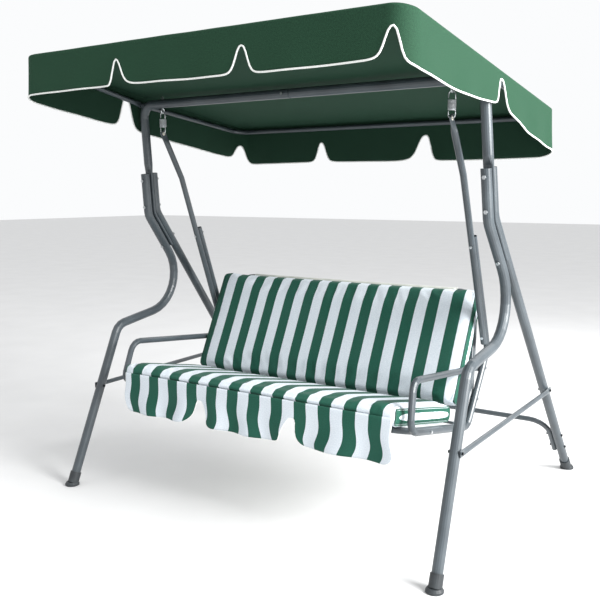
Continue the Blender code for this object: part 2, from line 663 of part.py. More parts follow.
side_frames = {}
for word, side in SIDES:
    x = side * SEAT_HALF
    start = EYE - TOP_DIR * 0.011
    end = HANG_CORNER + LONG_DIR * HANGER_LENGTH
    path = rounded([seat_at(x, start), seat_at(x, HANG_CORNER), seat_at(x, end)], [0.060])
    flat = (FLAT / 2, SEAT_R * 1.3, 4.0)
    hanger = tube(f"hanger_{word}", path, SEAT_R, SEAT_WALL, X, 12,
                  [(0.0, *flat), (0.030, *flat), (0.062, SEAT_R, SEAT_R, 2.0)])
    frame_green(hanger)
    drill(hanger, seat_at(x, EYE), X, BUSH_R + HOLE_CLEARANCE, 0.01)

    top = HANG_CORNER + LAP + LONG_DIR * HANGER_LAP_TOP
    x_arm = side * (SEAT_HALF - ARM_IN)
    corners = [seat_at(x, top), seat_at(x, ELBOW), seat_at(x, CORNER), seat_at(x, FRONT_CORNER),
               seat_at(x_arm, ARM_FRONT), seat_at(x_arm, ARM_END)]
    path = rounded(corners, [SIDE_RADIUS, SIDE_RADIUS, SIDE_RADIUS * 0.8, SIDE_RADIUS])
    length = sum((b - a).length for a, b in zip(path, path[1:]))
    flat = (FLAT / 2, SEAT_R * 1.2, 4.0)
    full = (SEAT_R, SEAT_R, 2.0)
    frame = tube(f"side_frame_{word}", path, SEAT_R, SEAT_WALL, X, 12,
                 [(0.0, *full), (length - 0.055, *full), (length - 0.028, *flat), (length, *flat)])
    frame_green(frame)
    side_frames[word] = frame

    across = Vector((0, LONG_NORMAL.x, LONG_NORMAL.y))
    for number, down in enumerate((HANGER_LAP_TOP + 0.030, HANGER_LENGTH - 0.030), 1):
        spot = seat_at(x, HANG_CORNER + LONG_DIR * down)
        centre = spot + across * ((SEAT_TUBE_D + FIT) / 2)
        for piece in (hanger, frame):
            drill(piece, centre, across, SMALL_BOLT_D / 2 + HOLE_CLEARANCE, SEAT_TUBE_D + 0.006)
        bolt(f"hanger_bolt_{number}_{word}", spot - across * (SEAT_R + FIT), across,
             2 * SEAT_TUBE_D + 3 * FIT, SMALL_BOLT_D)
    spot = seat_at(x, ARM_JOINT)
    drill(frame, spot, X, SMALL_BOLT_D / 2 + HOLE_CLEARANCE, SEAT_R + 0.014)
    bolt(f"arm_bolt_{word}", spot + X * side * (SEAT_R + FIT), X * -side,
         SEAT_TUBE_D + FLAT + 4 * FIT, SMALL_BOLT_D)

# ---------------------------------------------------------------- seat basket
BASKET_HALF = SEAT_HALF - BASKET_IN
SEAT_LINE = (FRONT_CORNER - CORNER).normalized()
BASKET_FRONT_P = FRONT_CORNER - SEAT_LINE * BASKET_FRONT
KINK = CORNER + Vector((math.tan(LOWER_LEAN), 1.0)) * BACK_KINK_RISE
BACK_TOP = CORNER + Vector((BACK_TOP_SET, BACK_TOP_RISE))
TOP_HALF = BASKET_HALF - BACK_NARROWING
loop = [seat_at(0, BACK_TOP)]
for side in (1, -1):
    run = [seat_at(side * TOP_HALF, BACK_TOP), seat_at(side * BASKET_HALF, KINK),
           seat_at(side * BASKET_HALF, CORNER), seat_at(side * BASKET_HALF, BASKET_FRONT_P)]
    loop += run if side > 0 else run[::-1]
loop.append(seat_at(0, BACK_TOP))
radii = [BASKET_RADIUS, 0.100, SIDE_RADIUS, BASKET_RADIUS, BASKET_RADIUS, SIDE_RADIUS, 0.100, BASKET_RADIUS]
path = rounded(loop, radii)[:-1]
basket = tube("seat_basket", path, SEAT_R, SEAT_WALL, Z, 12, closed=True)
for word, side in SIDES:
    for number, p in enumerate((FRONT_CORNER - SEAT_LINE * 0.142, CORNER.lerp(KINK, 0.78)), 1):
        spot = seat_at(side * SEAT_HALF, p)
        centre = spot - X * side * (BASKET_IN / 2)
        for piece in (basket, side_frames[word]):
            drill(piece, centre, X, SMALL_BOLT_D / 2 + HOLE_CLEARANCE, BASKET_IN / 2 + SEAT_R + 0.006)
        bolt(f"basket_bolt_{number}_{word}", spot + X * side * (SEAT_R + FIT), X * -side,
             2 * SEAT_TUBE_D + 3 * FIT, SMALL_BOLT_D)
half_turn = ((KINK - CORNER).normalized() + SEAT_LINE).normalized()
ROD_AT = CORNER + half_turn * (SIDE_RADIUS / math.sin((KINK - CORNER).angle(SEAT_LINE) / 2) - SIDE_RADIUS)
rod_reach = BASKET_HALF - SEAT_R + SEAT_WALL * 0.8
rod = lathe("rod", [(-rod_reach, ROD_D / 2), (rod_reach, ROD_D / 2)], seat_at(0, ROD_AT), X, 12)
cut(basket, rod, "UNION")
frame_green(basket)

# ---------------------------------------------------------------- sling under the cushions
def wrap(centre, radius, start, end, steps):
    """Points round a rail, angles in degrees from straight back."""
    return [centre + Vector((math.cos(a), math.sin(a))) * radius
            for a in (math.radians(start + (end - start) * k / steps) for k in range(steps + 1))]


def crossing(a, ra, b, rb, sense):
    """Angle of the straight span between two rails that lie on opposite faces of the sling."""
    span = b - a
    return math.degrees(math.atan2(span.y, span.x) + sense * math.asin((ra + rb) / span.length))


hem = SEAT_R + FIT * 3 + SLING_T / 2
under = ROD_D / 2 + FIT * 3 + SLING_T / 2
seat_span = crossing(BASKET_FRONT_P, hem, ROD_AT, under, -1)
back_span = crossing(ROD_AT, under, BACK_TOP, hem, 1)
line = wrap(BASKET_FRONT_P, hem, -80, seat_span - 270, 9)
line += wrap(ROD_AT, under, seat_span - 90, back_span - 90, 4)
line += wrap(BACK_TOP, hem, back_span + 90, -60, 10)
left_edge, right_edge = [], []
for i, p in enumerate(line):
    t = (line[min(i + 1, len(line) - 1)] - line[max(i - 1, 0)]).normalized()
    n = Vector((-t.y, t.x)) * (SLING_T / 2)
    left_edge.append(p + n)
    right_edge.append(p - n)
bm = bmesh.new()
outline = left_edge + right_edge[::-1]
ends = []
for side in (-1, 1):
    end = []
    for p in outline:
        share = min(max((p.y - ROD_AT.y) / (BACK_TOP.y - ROD_AT.y), 0.0), 1.0)
        half = BASKET_HALF - SLING_INSET - BACK_NARROWING * share
        end.append(bm.verts.new(seat_at(side * half, p)))
    ends.append(end)
count = len(line)
for k in range(len(outline)):
    m = (k + 1) % len(outline)
    bm.faces.new((ends[0][k], ends[0][m], ends[1][m], ends[1][k]))
for loop_verts in ends:
    for k in range(count - 1):
        bm.faces.new((loop_verts[k], loop_verts[k + 1], loop_verts[-k - 2], loop_verts[-k - 1]))
sling = add_object("seat_sling", bm)
paint(sling, "sling_canvas", (0.70, 0.72, 0.72), 0.9)

# ---------------------------------------------------------------- cushions and skirt
green = (0.02, 0.13, 0.09)
seat_up = Vector((-SEAT_LINE.y, SEAT_LINE.x)) * -1
lift = SEAT_R + SLING_T + 4 * FIT + 0.0015
front_over = 0.043
deep, thick = SEAT_CUSHION[1], SEAT_CUSHION[2]
seat_mid = FRONT_CORNER + SEAT_LINE * (front_over - deep / 2) + seat_up * (lift + thick / 2)
turn = Matrix.Translation(seat_at(0, seat_mid)) @ Matrix.Rotation(-SEAT_RAKE, 4, "X")
soft_box("seat_cushion", SEAT_CUSHION, turn, 0.024, green)

back_dir = Vector((math.sin(BACK_CUSHION_LEAN), math.cos(BACK_CUSHION_LEAN)))
back_out = Vector((-back_dir.y, back_dir.x))
back_low = CORNER + Vector(BACK_CUSHION_FOOT) + back_out * (SEAT_R + SLING_T + 3 * FIT)
tall, fat = BACK_CUSHION[1], BACK_CUSHION[2]
back_mid = back_low + back_dir * (tall / 2) + back_out * (fat / 2)
turn = Matrix.Translation(seat_at(0, back_mid)) @ Matrix.Rotation(-BACK_CUSHION_LEAN, 4, "X")
soft_box("back_cushion", (BACK_CUSHION[0], fat, tall), turn, 0.024, green)

skirt_top = FRONT_CORNER + SEAT_LINE * (front_over - 0.010) + seat_up * (lift - 0.003)
wide, high, thin = SKIRT
outline = [(-wide / 2, 0.0), (-wide / 2, -high)]
for centre in (-SKIRT_NOTCH_X, SKIRT_NOTCH_X):
    outline += [(centre - 0.034, -high), (centre - 0.010, -0.055), (centre + 0.010, -0.055),
                (centre + 0.034, -high)]
outline += [(wide / 2, -high), (wide / 2, 0.0)]
bm = bmesh.new()
base = seat_at(0, skirt_top)
face = bm.faces.new([bm.verts.new(base + Vector((x, 0.0, z))) for x, z in outline])
solid = bmesh.ops.extrude_face_region(bm, geom=[face])
moved = [v for v in solid["geom"] if isinstance(v, bmesh.types.BMVert)]
bmesh.ops.translate(bm, vec=(0, -thin, 0), verts=moved)
skirt = add_object("seat_skirt", bm, smooth=False)
paint(skirt, "striped_canvas", green, 0.85)

# ---------------------------------------------------------------- canopy pivots and tubes
BOSS_R = 0.010
SCREW_R = BOLT_D / 2
TUBE_R = CANOPY_TUBE_D / 2
bend_x = POST_HALF - BEAM_CORNER_RADIUS
reach_at_beam = bend_x + math.sqrt((BEAM_CORNER_RADIUS + LEG_R) ** 2 - BEAM_CORNER_RADIUS ** 2)

CANOPY_SLOPE = math.atan2(CANOPY_REAR_RISE - CANOPY_FRONT_RISE, CANOPY_REAR - CANOPY_FRONT)


def top_z(y):
    """Height of the canopy's top face over the bench, y measured from the beam."""
    share = (y - CANOPY_FRONT) / (CANOPY_REAR - CANOPY_FRONT)
    return BEAM_Z + CANOPY_FRONT_RISE + share * (CANOPY_REAR_RISE - CANOPY_FRONT_RISE)


arm_mid = PIVOT_FACE + FIT + FLAT + FIT / 2
canopy_tubes = {}
for place, edge, order in (("front", CANOPY_FRONT, 0), ("rear", CANOPY_REAR, 1)):
    inset = math.copysign(CANOPY_T + 3 * FIT + TUBE_R, edge)
    y_tube = edge - inset
    z_tube = top_z(y_tube) - (CANOPY_T + 5 * FIT + TUBE_R) / math.cos(CANOPY_SLOPE)
    corners = []
    for side in (1, -1):
        x_pivot = side * (PIVOT_FACE + FIT + FLAT / 2 + order * (FLAT + FIT))
        pivot = at(x_pivot, BEAM_Y, BEAM_Z)
        bend = at(side * (CANOPY_HALF - CANOPY_T - FIT * 4 - TUBE_R), BEAM_Y + y_tube, z_tube)
        away = (pivot - bend).normalized() * 0.013
        pair = [pivot + away, bend]
        corners += pair if side > 0 else pair[::-1]
    path = rounded(corners, [CANOPY_CORNER - 0.005] * 2)
    length = sum((b - a).length for a, b in zip(path, path[1:]))
    flat = (TUBE_R * 1.15, FLAT / 2, 4.0)
    full = (TUBE_R, TUBE_R, 2.0)
    shape = [(0.0, *flat), (0.034, *flat), (0.070, *full),
             (length - 0.070, *full), (length - 0.034, *flat), (length, *flat)]
    piece = tube(f"canopy_tube_{place}", path, TUBE_R, 0.001, Z, 12, shape)
    frame_green(piece)
    canopy_tubes[place] = piece

for word, side in SIDES:
    pivot = at(0, BEAM_Y, BEAM_Z)
    boss = lathe(f"pivot_boss_{word}", [(reach_at_beam - 0.004, BOSS_R), (PIVOT_FACE, BOSS_R)],
                 pivot, X * side, 12)
    corner = at(side * POST_HALF, BEAM_Y, BEAM_Z)
    inner = at(side * (POST_HALF - 0.15), BEAM_Y, BEAM_Z)
    keep = tube("keep", rounded([leaned(side, MID_KNEE), corner, inner], [BEAM_CORNER_RADIUS]),
                LEG_R + 2 * FIT, None, Y, 16)
    cut(boss, keep)
    frame_green(boss)
    hole = SCREW_R + HOLE_CLEARANCE
    drill(boss, pivot + X * side * reach_at_beam, X, hole, 0.04)
    drill(bows[word], pivot + X * side * reach_at_beam, X, hole, 0.018)
    for piece in canopy_tubes.values():
        drill(piece, pivot + X * side * arm_mid, X, hole, 0.012)
    rings = [(reach_at_beam - 0.014, SCREW_R), (SCREW_FACE, SCREW_R), (SCREW_FACE, SCREW_HEAD_R),
             (SCREW_FACE + SCREW_HEAD, SCREW_HEAD_R)]
    screw = lathe(f"tilt_screw_{word}", rings, pivot, X * side, 16)
    paint(screw, "screw_plastic", (0.03, 0.032, 0.034), 0.5)

# ---------------------------------------------------------------- canopy cover
NOTCHES = {"front": (-0.310, 0.245), "rear": (-0.310, 0.245), "left": (-0.080,), "right": (0.080,)}
NOTCH_HALF = 0.052
NOTCH_LEFT = 0.066          # cloth left above a notch
SIDE_NOTCH_LEFT = 0.045
OPEN_CORNERS = ("front_right", "rear_left")


def outline_points(grow):
    """Plan outline of the canopy, counter-clockwise, with the side each point lies on."""
    half = CANOPY_HALF + grow
    y0, y1 = CANOPY_FRONT - grow, CANOPY_REAR + grow
    r = CANOPY_CORNER + grow
    points = []

    def run(name, a, b, fixed, horizontal, sign):
        spots = sorted({a, b} | {n + d for n in NOTCHES[name]
                                 for d in (-NOTCH_HALF, -NOTCH_HALF * 0.55, -NOTCH_HALF * 0.2,
                                           NOTCH_HALF * 0.2, NOTCH_HALF * 0.55, NOTCH_HALF)})
        for s in (spots if sign > 0 else spots[::-1]):
            points.append((Vector((s, fixed)) if horizontal else Vector((fixed, s)), name, s))

    def corner(name, cx, cy, start):
        for k in range(1, 4):
            a = math.radians(start + 90 * k / 4)
            points.append((Vector((cx + r * math.cos(a), cy + r * math.sin(a))), name, abs(k - 2) / 2))

    inner = CANOPY_CORNER
    xs = CANOPY_HALF - inner
    ya, yb = CANOPY_FRONT + inner, CANOPY_REAR - inner
    run("front", -xs, xs, y0, True, 1)
    corner("front_right", xs, ya, -90)
    run("right", ya, yb, half, False, 1)
    corner("rear_right", xs, yb, 0)
    run("rear", -xs, xs, y1, True, -1)
    corner("rear_left", -xs, yb, 90)
    run("left", ya, yb, -half, False, -1)
    corner("front_left", -xs, ya, 180)
    return points


def hang(name, s, y):
    """Length of the valance at a spot of one side."""
    share = (y - CANOPY_FRONT) / (CANOPY_REAR - CANOPY_FRONT)
    full = VALANCE_FRONT + share * (VALANCE_REAR - VALANCE_FRONT)
    left = SIDE_NOTCH_LEFT if name in ("left", "right") else NOTCH_LEFT
    if name in NOTCHES:
        near = min(abs(s - n) for n in NOTCHES[name]) / NOTCH_HALF
    elif name in OPEN_CORNERS:
        near = s
    else:
        near = 1.0
    if near >= 1.0:
        return full
    return full - (full - left) * (0.5 + 0.5 * math.cos(math.pi * near ** 1.3))


round_r = 0.008
rows = []
for grow, drop in ((-round_r, 0.0), (-round_r * 0.3, round_r * 0.3), (0.0, round_r)):
    rows.append([(p, drop, name, s) for p, name, s in outline_points(grow)])
bm = bmesh.new()
grid = []
for row in rows:
    grid.append([bm.verts.new(at(p.x, BEAM_Y + p.y, top_z(p.y) - drop)) for p, drop, name, s in row])
grid.append([bm.verts.new(at(p.x, BEAM_Y + p.y, top_z(p.y) - hang(name, s, p.y)))
             for p, drop, name, s in rows[-1]])
bm.faces.new(grid[0])
for a, b in zip(grid, grid[1:]):
    for k in range(len(a)):
        m = (k + 1) % len(a)
        bm.faces.new((a[k], a[m], b[m], b[k]))
cover = add_object("canopy_cover", bm)
shell = cover.modifiers.new("thickness", "SOLIDIFY")
shell.thickness = CANOPY_T
shell.offset = -1.0
shell.use_even_offset = True
paint(cover, "canopy_canvas", (0.02, 0.06, 0.045), 0.9)

# ---------------------------------------------------------------- axes that the moving pieces turn about
AXES = {
    "spring_axis": (at(0, BEAM_Y, HOOK_TOP_Z), ("spring_",)),
    "seat_axis": (at(0, BEAM_Y, EYE_Z), ("hanger_", "side_frame_", "seat_", "back_", "arm_", "basket_")),
    "canopy_axis": (at(0, BEAM_Y, BEAM_Z), ("canopy_",)),
    "screw_axis": (at(0, BEAM_Y, BEAM_Z), ("tilt_screw_",)),
}
for axis_name, (spot, starts) in AXES.items():
    pivot = bpy.data.objects.new(axis_name, None)
    pivot.location = spot
    bpy.context.scene.collection.objects.link(pivot)
    for obj in bpy.context.scene.objects:
        if obj.type == "MESH" and obj.name.startswith(starts):
            obj.parent = pivot
            obj.matrix_parent_inverse = Matrix.Translation(-spot)
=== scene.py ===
import json
import math

import bmesh
import bpy
from mathutils import Matrix, Vector, kdtree, noise


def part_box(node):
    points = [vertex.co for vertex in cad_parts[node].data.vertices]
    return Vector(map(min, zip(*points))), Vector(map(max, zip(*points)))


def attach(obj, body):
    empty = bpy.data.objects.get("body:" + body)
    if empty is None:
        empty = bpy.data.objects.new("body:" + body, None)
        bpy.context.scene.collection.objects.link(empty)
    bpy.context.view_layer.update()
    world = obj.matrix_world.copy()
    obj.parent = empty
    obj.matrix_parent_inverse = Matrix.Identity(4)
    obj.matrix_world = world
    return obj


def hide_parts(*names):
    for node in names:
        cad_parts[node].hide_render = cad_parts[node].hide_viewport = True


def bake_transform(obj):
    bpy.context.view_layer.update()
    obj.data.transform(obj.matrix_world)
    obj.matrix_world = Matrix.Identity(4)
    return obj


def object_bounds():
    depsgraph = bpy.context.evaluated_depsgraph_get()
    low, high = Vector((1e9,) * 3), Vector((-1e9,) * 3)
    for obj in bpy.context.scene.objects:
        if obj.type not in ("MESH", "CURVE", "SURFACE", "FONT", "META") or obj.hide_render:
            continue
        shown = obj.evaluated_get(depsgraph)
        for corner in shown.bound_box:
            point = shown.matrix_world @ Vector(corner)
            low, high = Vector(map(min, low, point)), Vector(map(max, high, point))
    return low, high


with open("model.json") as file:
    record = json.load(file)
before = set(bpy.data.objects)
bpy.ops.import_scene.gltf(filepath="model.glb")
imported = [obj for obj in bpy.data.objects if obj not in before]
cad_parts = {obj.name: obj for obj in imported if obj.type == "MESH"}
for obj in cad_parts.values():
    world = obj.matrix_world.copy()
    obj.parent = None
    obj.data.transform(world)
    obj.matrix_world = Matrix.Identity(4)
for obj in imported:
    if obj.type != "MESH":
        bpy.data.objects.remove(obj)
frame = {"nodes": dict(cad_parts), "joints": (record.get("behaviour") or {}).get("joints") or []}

cad_low, cad_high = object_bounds()
SIDES = (("left", -1), ("right", 1))

# ------------------------------------------------------------------ bent steel tubes
# The legs, bows, braces, hangers, seat frames and canopy hoops are thin-walled steel tube, bent cold,
# pressed flat where they bolt together, and powder-coated in a dark grey-green satin enamel.


def hex_colour(text):
    """Linear RGBA of an sRGB hex colour such as 3a4246."""
    values = [int(text[i:i + 2], 16) / 255 for i in (0, 2, 4)]
    return (*[v / 12.92 if v <= 0.04045 else ((v + 0.055) / 1.055) ** 2.4 for v in values], 1.0)


def add_node(tree, kind, values=None, links=None, **settings):
    """A shader node with its settings, its input values and the outputs linked to its inputs."""
    new = tree.nodes.new("ShaderNode" + kind)
    for name, value in settings.items():
        setattr(new, name, value)
    for socket, value in (values or {}).items():
        new.inputs[socket].default_value = value
    for socket, source in (links or {}).items():
        tree.links.new(source, new.inputs[socket])
    return new


def begin_material(name, **values):
    """A material with a Principled shader whose plain inputs are set; returns it, its tree and shader."""
    material = bpy.data.materials.new(name)
    material.use_nodes = True
    tree = material.node_tree
    shader = tree.nodes["Principled BSDF"]
    for socket, value in values.items():
        shader.inputs[socket.replace("_", " ")].default_value = value
    return material, tree, shader


def ramp(tree, source, stops):
    """Colour ramp over a value: stops lists (place, hex colour)."""
    new = add_node(tree, "ValToRGB", links={"Fac": source})
    for element, (place, colour) in zip((new.color_ramp.elements[0], new.color_ramp.elements[1]), stops):
        element.position = place
        element.color = hex_colour(colour)
    for place, colour in stops[2:]:
        element = new.color_ramp.elements.new(place)
        element.color = hex_colour(colour)
    return new.outputs["Color"]


def grey(tree, source, low, high):
    """Map a 0 to 1 value to the range low to high."""
    new = add_node(tree, "MapRange", {"To Min": low, "To Max": high}, {"Value": source})
    return new.outputs["Result"]


# Powder coat: a satin skin with a faint orange-peel ripple, dulled by handling in soft patches.
enamel, tree, shader = begin_material("satin_powder_coat", IOR=1.5, Metallic=0.0, Coat_Weight=0.25, Coat_Roughness=0.22)
place = add_node(tree, "TexCoord").outputs["Object"]
patches = add_node(tree, "TexNoise", {"Scale": 9.0, "Detail": 5.0}, {"Vector": place}).outputs["Fac"]
ripple = add_node(tree, "TexNoise", {"Scale": 520.0, "Detail": 2.0}, {"Vector": place}).outputs["Fac"]
flecks = add_node(tree, "TexNoise", {"Scale": 160.0, "Detail": 3.0}, {"Vector": place}).outputs["Fac"]
scuffs = add_node(tree, "MapRange", {"From Min": 0.70, "From Max": 0.76}, {"Value": flecks}).outputs["Result"]
colour = ramp(tree, patches, [(0.30, "363d42"), (0.72, "454d52")])
worn = add_node(tree, "MixRGB", {"Color2": hex_colour("69706f")}, {"Fac": grey(tree, scuffs, 0.0, 0.35), "Color1": colour})
tree.links.new(worn.outputs["Color"], shader.inputs["Base Color"])
tree.links.new(grey(tree, patches, 0.30, 0.46), shader.inputs["Roughness"])
bump = add_node(tree, "Bump", {"Strength": 0.12, "Distance": 0.0006}, {"Height": ripple})
tree.links.new(bump.outputs["Normal"], shader.inputs["Normal"])

ENAMELLED = ("front_leg", "rear_leg", "top_bow", "side_brace", "rear_cross_tube", "pivot_boss",
             "canopy_tube", "hanger_left", "hanger_right", "side_frame", "seat_basket")


def dress(starts, material):
    """Give every CAD piece whose name begins so one material."""
    for name, obj in frame["nodes"].items():
        if name.startswith(starts):
            obj.data.materials.clear()
            obj.data.materials.append(material)


dress(ENAMELLED, enamel)

# ------------------------------------------------------------------ bolts and eye bolts
# Hex bolts and nuts of mild steel, zinc-plated bright; those on the braces and on the rear cross
# tube are blackened instead. The eye bolts through the beam are plated wire bent to a ring.


def plated(name, dark, light, roughness):
    """Plated steel: a metal with a fine crystalline mottle and slightly uneven gloss."""
    material, tree, shader = begin_material(name, Metallic=1.0)
    place = add_node(tree, "TexCoord").outputs["Object"]
    mottle = add_node(tree, "TexNoise", {"Scale": 300.0, "Detail": 4.0}, {"Vector": place}).outputs["Fac"]
    tree.links.new(ramp(tree, mottle, [(0.35, dark), (0.65, light)]), shader.inputs["Base Color"])
    tree.links.new(grey(tree, mottle, roughness - 0.07, roughness + 0.1), shader.inputs["Roughness"])
    bump = add_node(tree, "Bump", {"Strength": 0.15, "Distance": 0.0003}, {"Height": mottle})
    tree.links.new(bump.outputs["Normal"], shader.inputs["Normal"])
    return material


zinc = plated("bright_zinc_plate", "a9adb0", "d3d6d8", 0.30)
black_steel = plated("blackened_steel", "1c1e20", "34373a", 0.42)
dress(("leg_bolt", "eye_bolt", "beam_bolt", "hanger_bolt", "arm_bolt", "basket_bolt"), zinc)
dress(("brace_bolt", "cross_bolt"), black_steel)

# ------------------------------------------------------------------ moulded feet and bushes
# Feet are pushed-on caps of soft black PVC with a spread rim, and a white nylon bush lines each hanger's eye.
# The black polyethylene made here is used for the tilt knobs.


def moulded(name, dark, light, roughness, grain):
    """Injection-moulded plastic: an even colour with a fine spark-eroded grain."""
    material, tree, shader = begin_material(name, IOR=1.49)
    place = add_node(tree, "TexCoord").outputs["Object"]
    cloud = add_node(tree, "TexNoise", {"Scale": 30.0, "Detail": 4.0}, {"Vector": place}).outputs["Fac"]
    fine = add_node(tree, "TexNoise", {"Scale": 900.0, "Detail": 2.0}, {"Vector": place}).outputs["Fac"]
    tree.links.new(ramp(tree, cloud, [(0.3, dark), (0.7, light)]), shader.inputs["Base Color"])
    tree.links.new(grey(tree, cloud, roughness - 0.05, roughness + 0.08), shader.inputs["Roughness"])
    bump = add_node(tree, "Bump", {"Strength": grain, "Distance": 0.0004}, {"Height": fine})
    tree.links.new(bump.outputs["Normal"], shader.inputs["Normal"])
    return material


pvc = moulded("soft_black_pvc", "25292c", "33383b", 0.55, 0.25)
polythene = moulded("black_polyethylene", "1d2022", "2a2e30", 0.42, 0.12)
nylon = moulded("natural_nylon", "cfcbbd", "dedbd0", 0.40, 0.08)
dress(("foot_cap",), pvc)
dress(("hanger_bush",), nylon)


def finish_mesh(name, bm, materials, body=None, smooth_below=40.0):
    """Object from bm, faces out, smooth but for edges sharper than the limit."""
    bmesh.ops.recalc_face_normals(bm, faces=bm.faces)
    mesh = bpy.data.meshes.new(name)
    bm.to_mesh(mesh)
    bm.free()
    mesh.shade_smooth()
    mesh.set_sharp_from_angle(angle=math.radians(smooth_below))
    for material in materials:
        mesh.materials.append(material)
    obj = bpy.data.objects.new(name, mesh)
    bpy.context.scene.collection.objects.link(obj)
    if body:
        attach(obj, body)
    return obj


def turned(bm, rings, centre, direction, sides=32, lobes=0, depth=0.0):
    """Turned solid in bm from (height, radius) rings; lobes and depth give it a fluted rim."""
    turn = Matrix.Translation(centre) @ Vector(direction).to_track_quat("Z", "Y").to_matrix().to_4x4()
    loops = []
    for height, radius in rings:
        loop = []
        for k in range(sides):
            a = 2 * math.pi * k / sides
            r = radius * (1 + depth * math.cos(lobes * a))
            loop.append(bm.verts.new(turn @ Vector((r * math.cos(a), r * math.sin(a), height))))
        loops.append(loop)
    for a, b in zip(loops, loops[1:]):
        for k in range(sides):
            bm.faces.new((a[k], a[(k + 1) % sides], b[(k + 1) % sides], b[k]))
    bm.faces.new(loops[0][::-1])
    bm.faces.new(loops[-1])


def end_face(node, pick):
    """Middle of a tube's open end; pick scores the corner points nearest to it."""
    points = [v.co.copy() for v in frame["nodes"][node].data.vertices]
    best = max(points, key=pick)
    near = [p for p in points if (p - best).length < 0.046 and abs(pick(p) - pick(best)) < 0.02]
    middle = sum(near, Vector()) / len(near)
    return middle


# ------------------------------------------------------------------ hanging springs
# Two coil springs of 4 mm zinc-plated wire carry the seat. Each ends in a full loop: the upper one
# hangs in the eye bolt's ring and the lower one holds the nylon bush of the hanger.
WIRE = 0.004
SPRING_OD = 0.030
TURNS = 8
TOP_STRAIGHT = 0.016
LOW_STRAIGHT = 0.015


def wire(name, points, radius, material, closed=False, sides=4):
    """Round wire or cord along the points."""
    curve = bpy.data.curves.new(name, "CURVE")
    curve.dimensions = "3D"
    curve.bevel_depth = radius
    curve.bevel_resolution = sides
    curve.use_fill_caps = not closed
    spline = curve.splines.new("POLY")
    spline.points.add(len(points) - 1)
    spline.use_cyclic_u = closed
    spline.use_smooth = True
    for point, spot in zip(spline.points, points):
        point.co = (*spot, 1.0)
    path = bpy.data.objects.new(name, curve)
    bpy.context.scene.collection.objects.link(path)
    mesh = bpy.data.meshes.new_from_object(path.evaluated_get(bpy.context.evaluated_depsgraph_get()))
    bpy.data.objects.remove(path)
    mesh.materials.clear()
    mesh.materials.append(material)
    mesh.shade_smooth()
    obj = bpy.data.objects.new(name, mesh)
    bpy.context.scene.collection.objects.link(obj)
    return obj


def spring_points(low, high):
    """Upper loop, close coils and lower loop of a spring that fills the box low to high."""
    middle = (low + high) / 2
    r = (SPRING_OD - WIRE) / 2
    top, bottom = high.z - WIRE / 2, low.z + WIRE / 2
    coil_top, coil_low = top - r - TOP_STRAIGHT, bottom + r + LOW_STRAIGHT
    points = [(-r, 0.0, coil_top + 0.005)]
    points += [(-r * math.cos(math.pi * k / 14), 0.0, top - r + r * math.sin(math.pi * k / 14)) for k in range(15)]
    steps = 24
    for k in range(TURNS * steps + 1):
        a = 2 * math.pi * k / steps
        ease = min(k, TURNS * steps - k, 5) / 5
        points.append((r * math.cos(a), r * ease * math.sin(a) if ease < 1 else r * math.sin(a),
                       coil_top + (coil_low - coil_top) * k / (TURNS * steps)))
    points += [(r * math.cos(math.pi * k / 14), 0.0, bottom + r - r * math.sin(math.pi * k / 14)) for k in range(15)]
    points.append((-r, 0.0, coil_low - 0.005))
    return [Vector((x + middle.x, y + middle.y, z)) for x, y, z in points], coil_top, coil_low


for word, side in SIDES:
    low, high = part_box(f"spring_{word}")
    points, coil_top, coil_low = spring_points(low, high)
    spring = wire(f"coil_spring_{word}", points, WIRE / 2, zinc)
    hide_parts(f"spring_{word}")
    centre = (low + high) / 2
    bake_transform(spring)

# ------------------------------------------------------------------ tilt screws
# A black moulded thumb knob with a fluted rim on a threaded steel stud clamps the canopy hoops
# against the boss on each side, so that the canopy stays at the angle it is set to.
for word, side in SIDES:
    low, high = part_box(f"tilt_screw_{word}")
    inner, outer = (low.x, high.x) if side > 0 else (-high.x, -low.x)
    centre = Vector((0.0, (low.y + high.y) / 2, (low.z + high.z) / 2))
    knob = (high.z - low.z) / 2
    face = outer - 0.0052
    bm = bmesh.new()
    turned(bm, [(face, knob * 0.80), (face + 0.0008, knob * 0.93), (face + 0.0040, knob * 0.93),
                (face + 0.0052, knob * 0.78), (face + 0.0050, knob * 0.30)],
           centre, Vector((side, 0, 0)), 72, 12, 0.045)
    knob_piece = finish_mesh(f"tilt_knob_{word}", bm, [polythene], f"tilt_screw_{word}")
    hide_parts(f"tilt_screw_{word}")
    bm = bmesh.new()
    turned(bm, [(inner, 0.0034), (inner + 0.001, 0.004), (face + 0.001, 0.004)], centre, Vector((side, 0, 0)), 20)
    stud = finish_mesh(f"tilt_stud_{word}", bm, [zinc], f"tilt_screw_{word}")

# ------------------------------------------------------------------ canopy cover
# One cover of dark green coated polyester canvas over the two hoops: a flat top, and a deep
# valance sewn round it, cut in scallops with tall narrow notches and bound in white tape.
CANOPY_CORNER = 0.070
EDGE_ROLL = 0.008
VALANCE_REAR = 0.185
TOP_SAG = 0.014
THREAD = 0.0026            # the real thread is 0.5 mm; drawn coarser so that the weave shows
# Notches: side, place along it, cloth left above the peak, half width before and after the peak.
NOTCHES = (("front", -0.310, 0.058, 0.009, 0.036), ("front", 0.245, 0.064, 0.026, 0.024),
           ("front_right", -0.5, 0.060, 0.027, 0.018), ("right", 0.080, 0.032, 0.026, 0.046),
           ("rear", 0.245, 0.075, 0.018, 0.050), ("rear", -0.310, 0.088, 0.024, 0.024),
           ("rear_left", -0.2, 0.092, 0.022, 0.034), ("left", -0.080, 0.032, 0.036, 0.030))


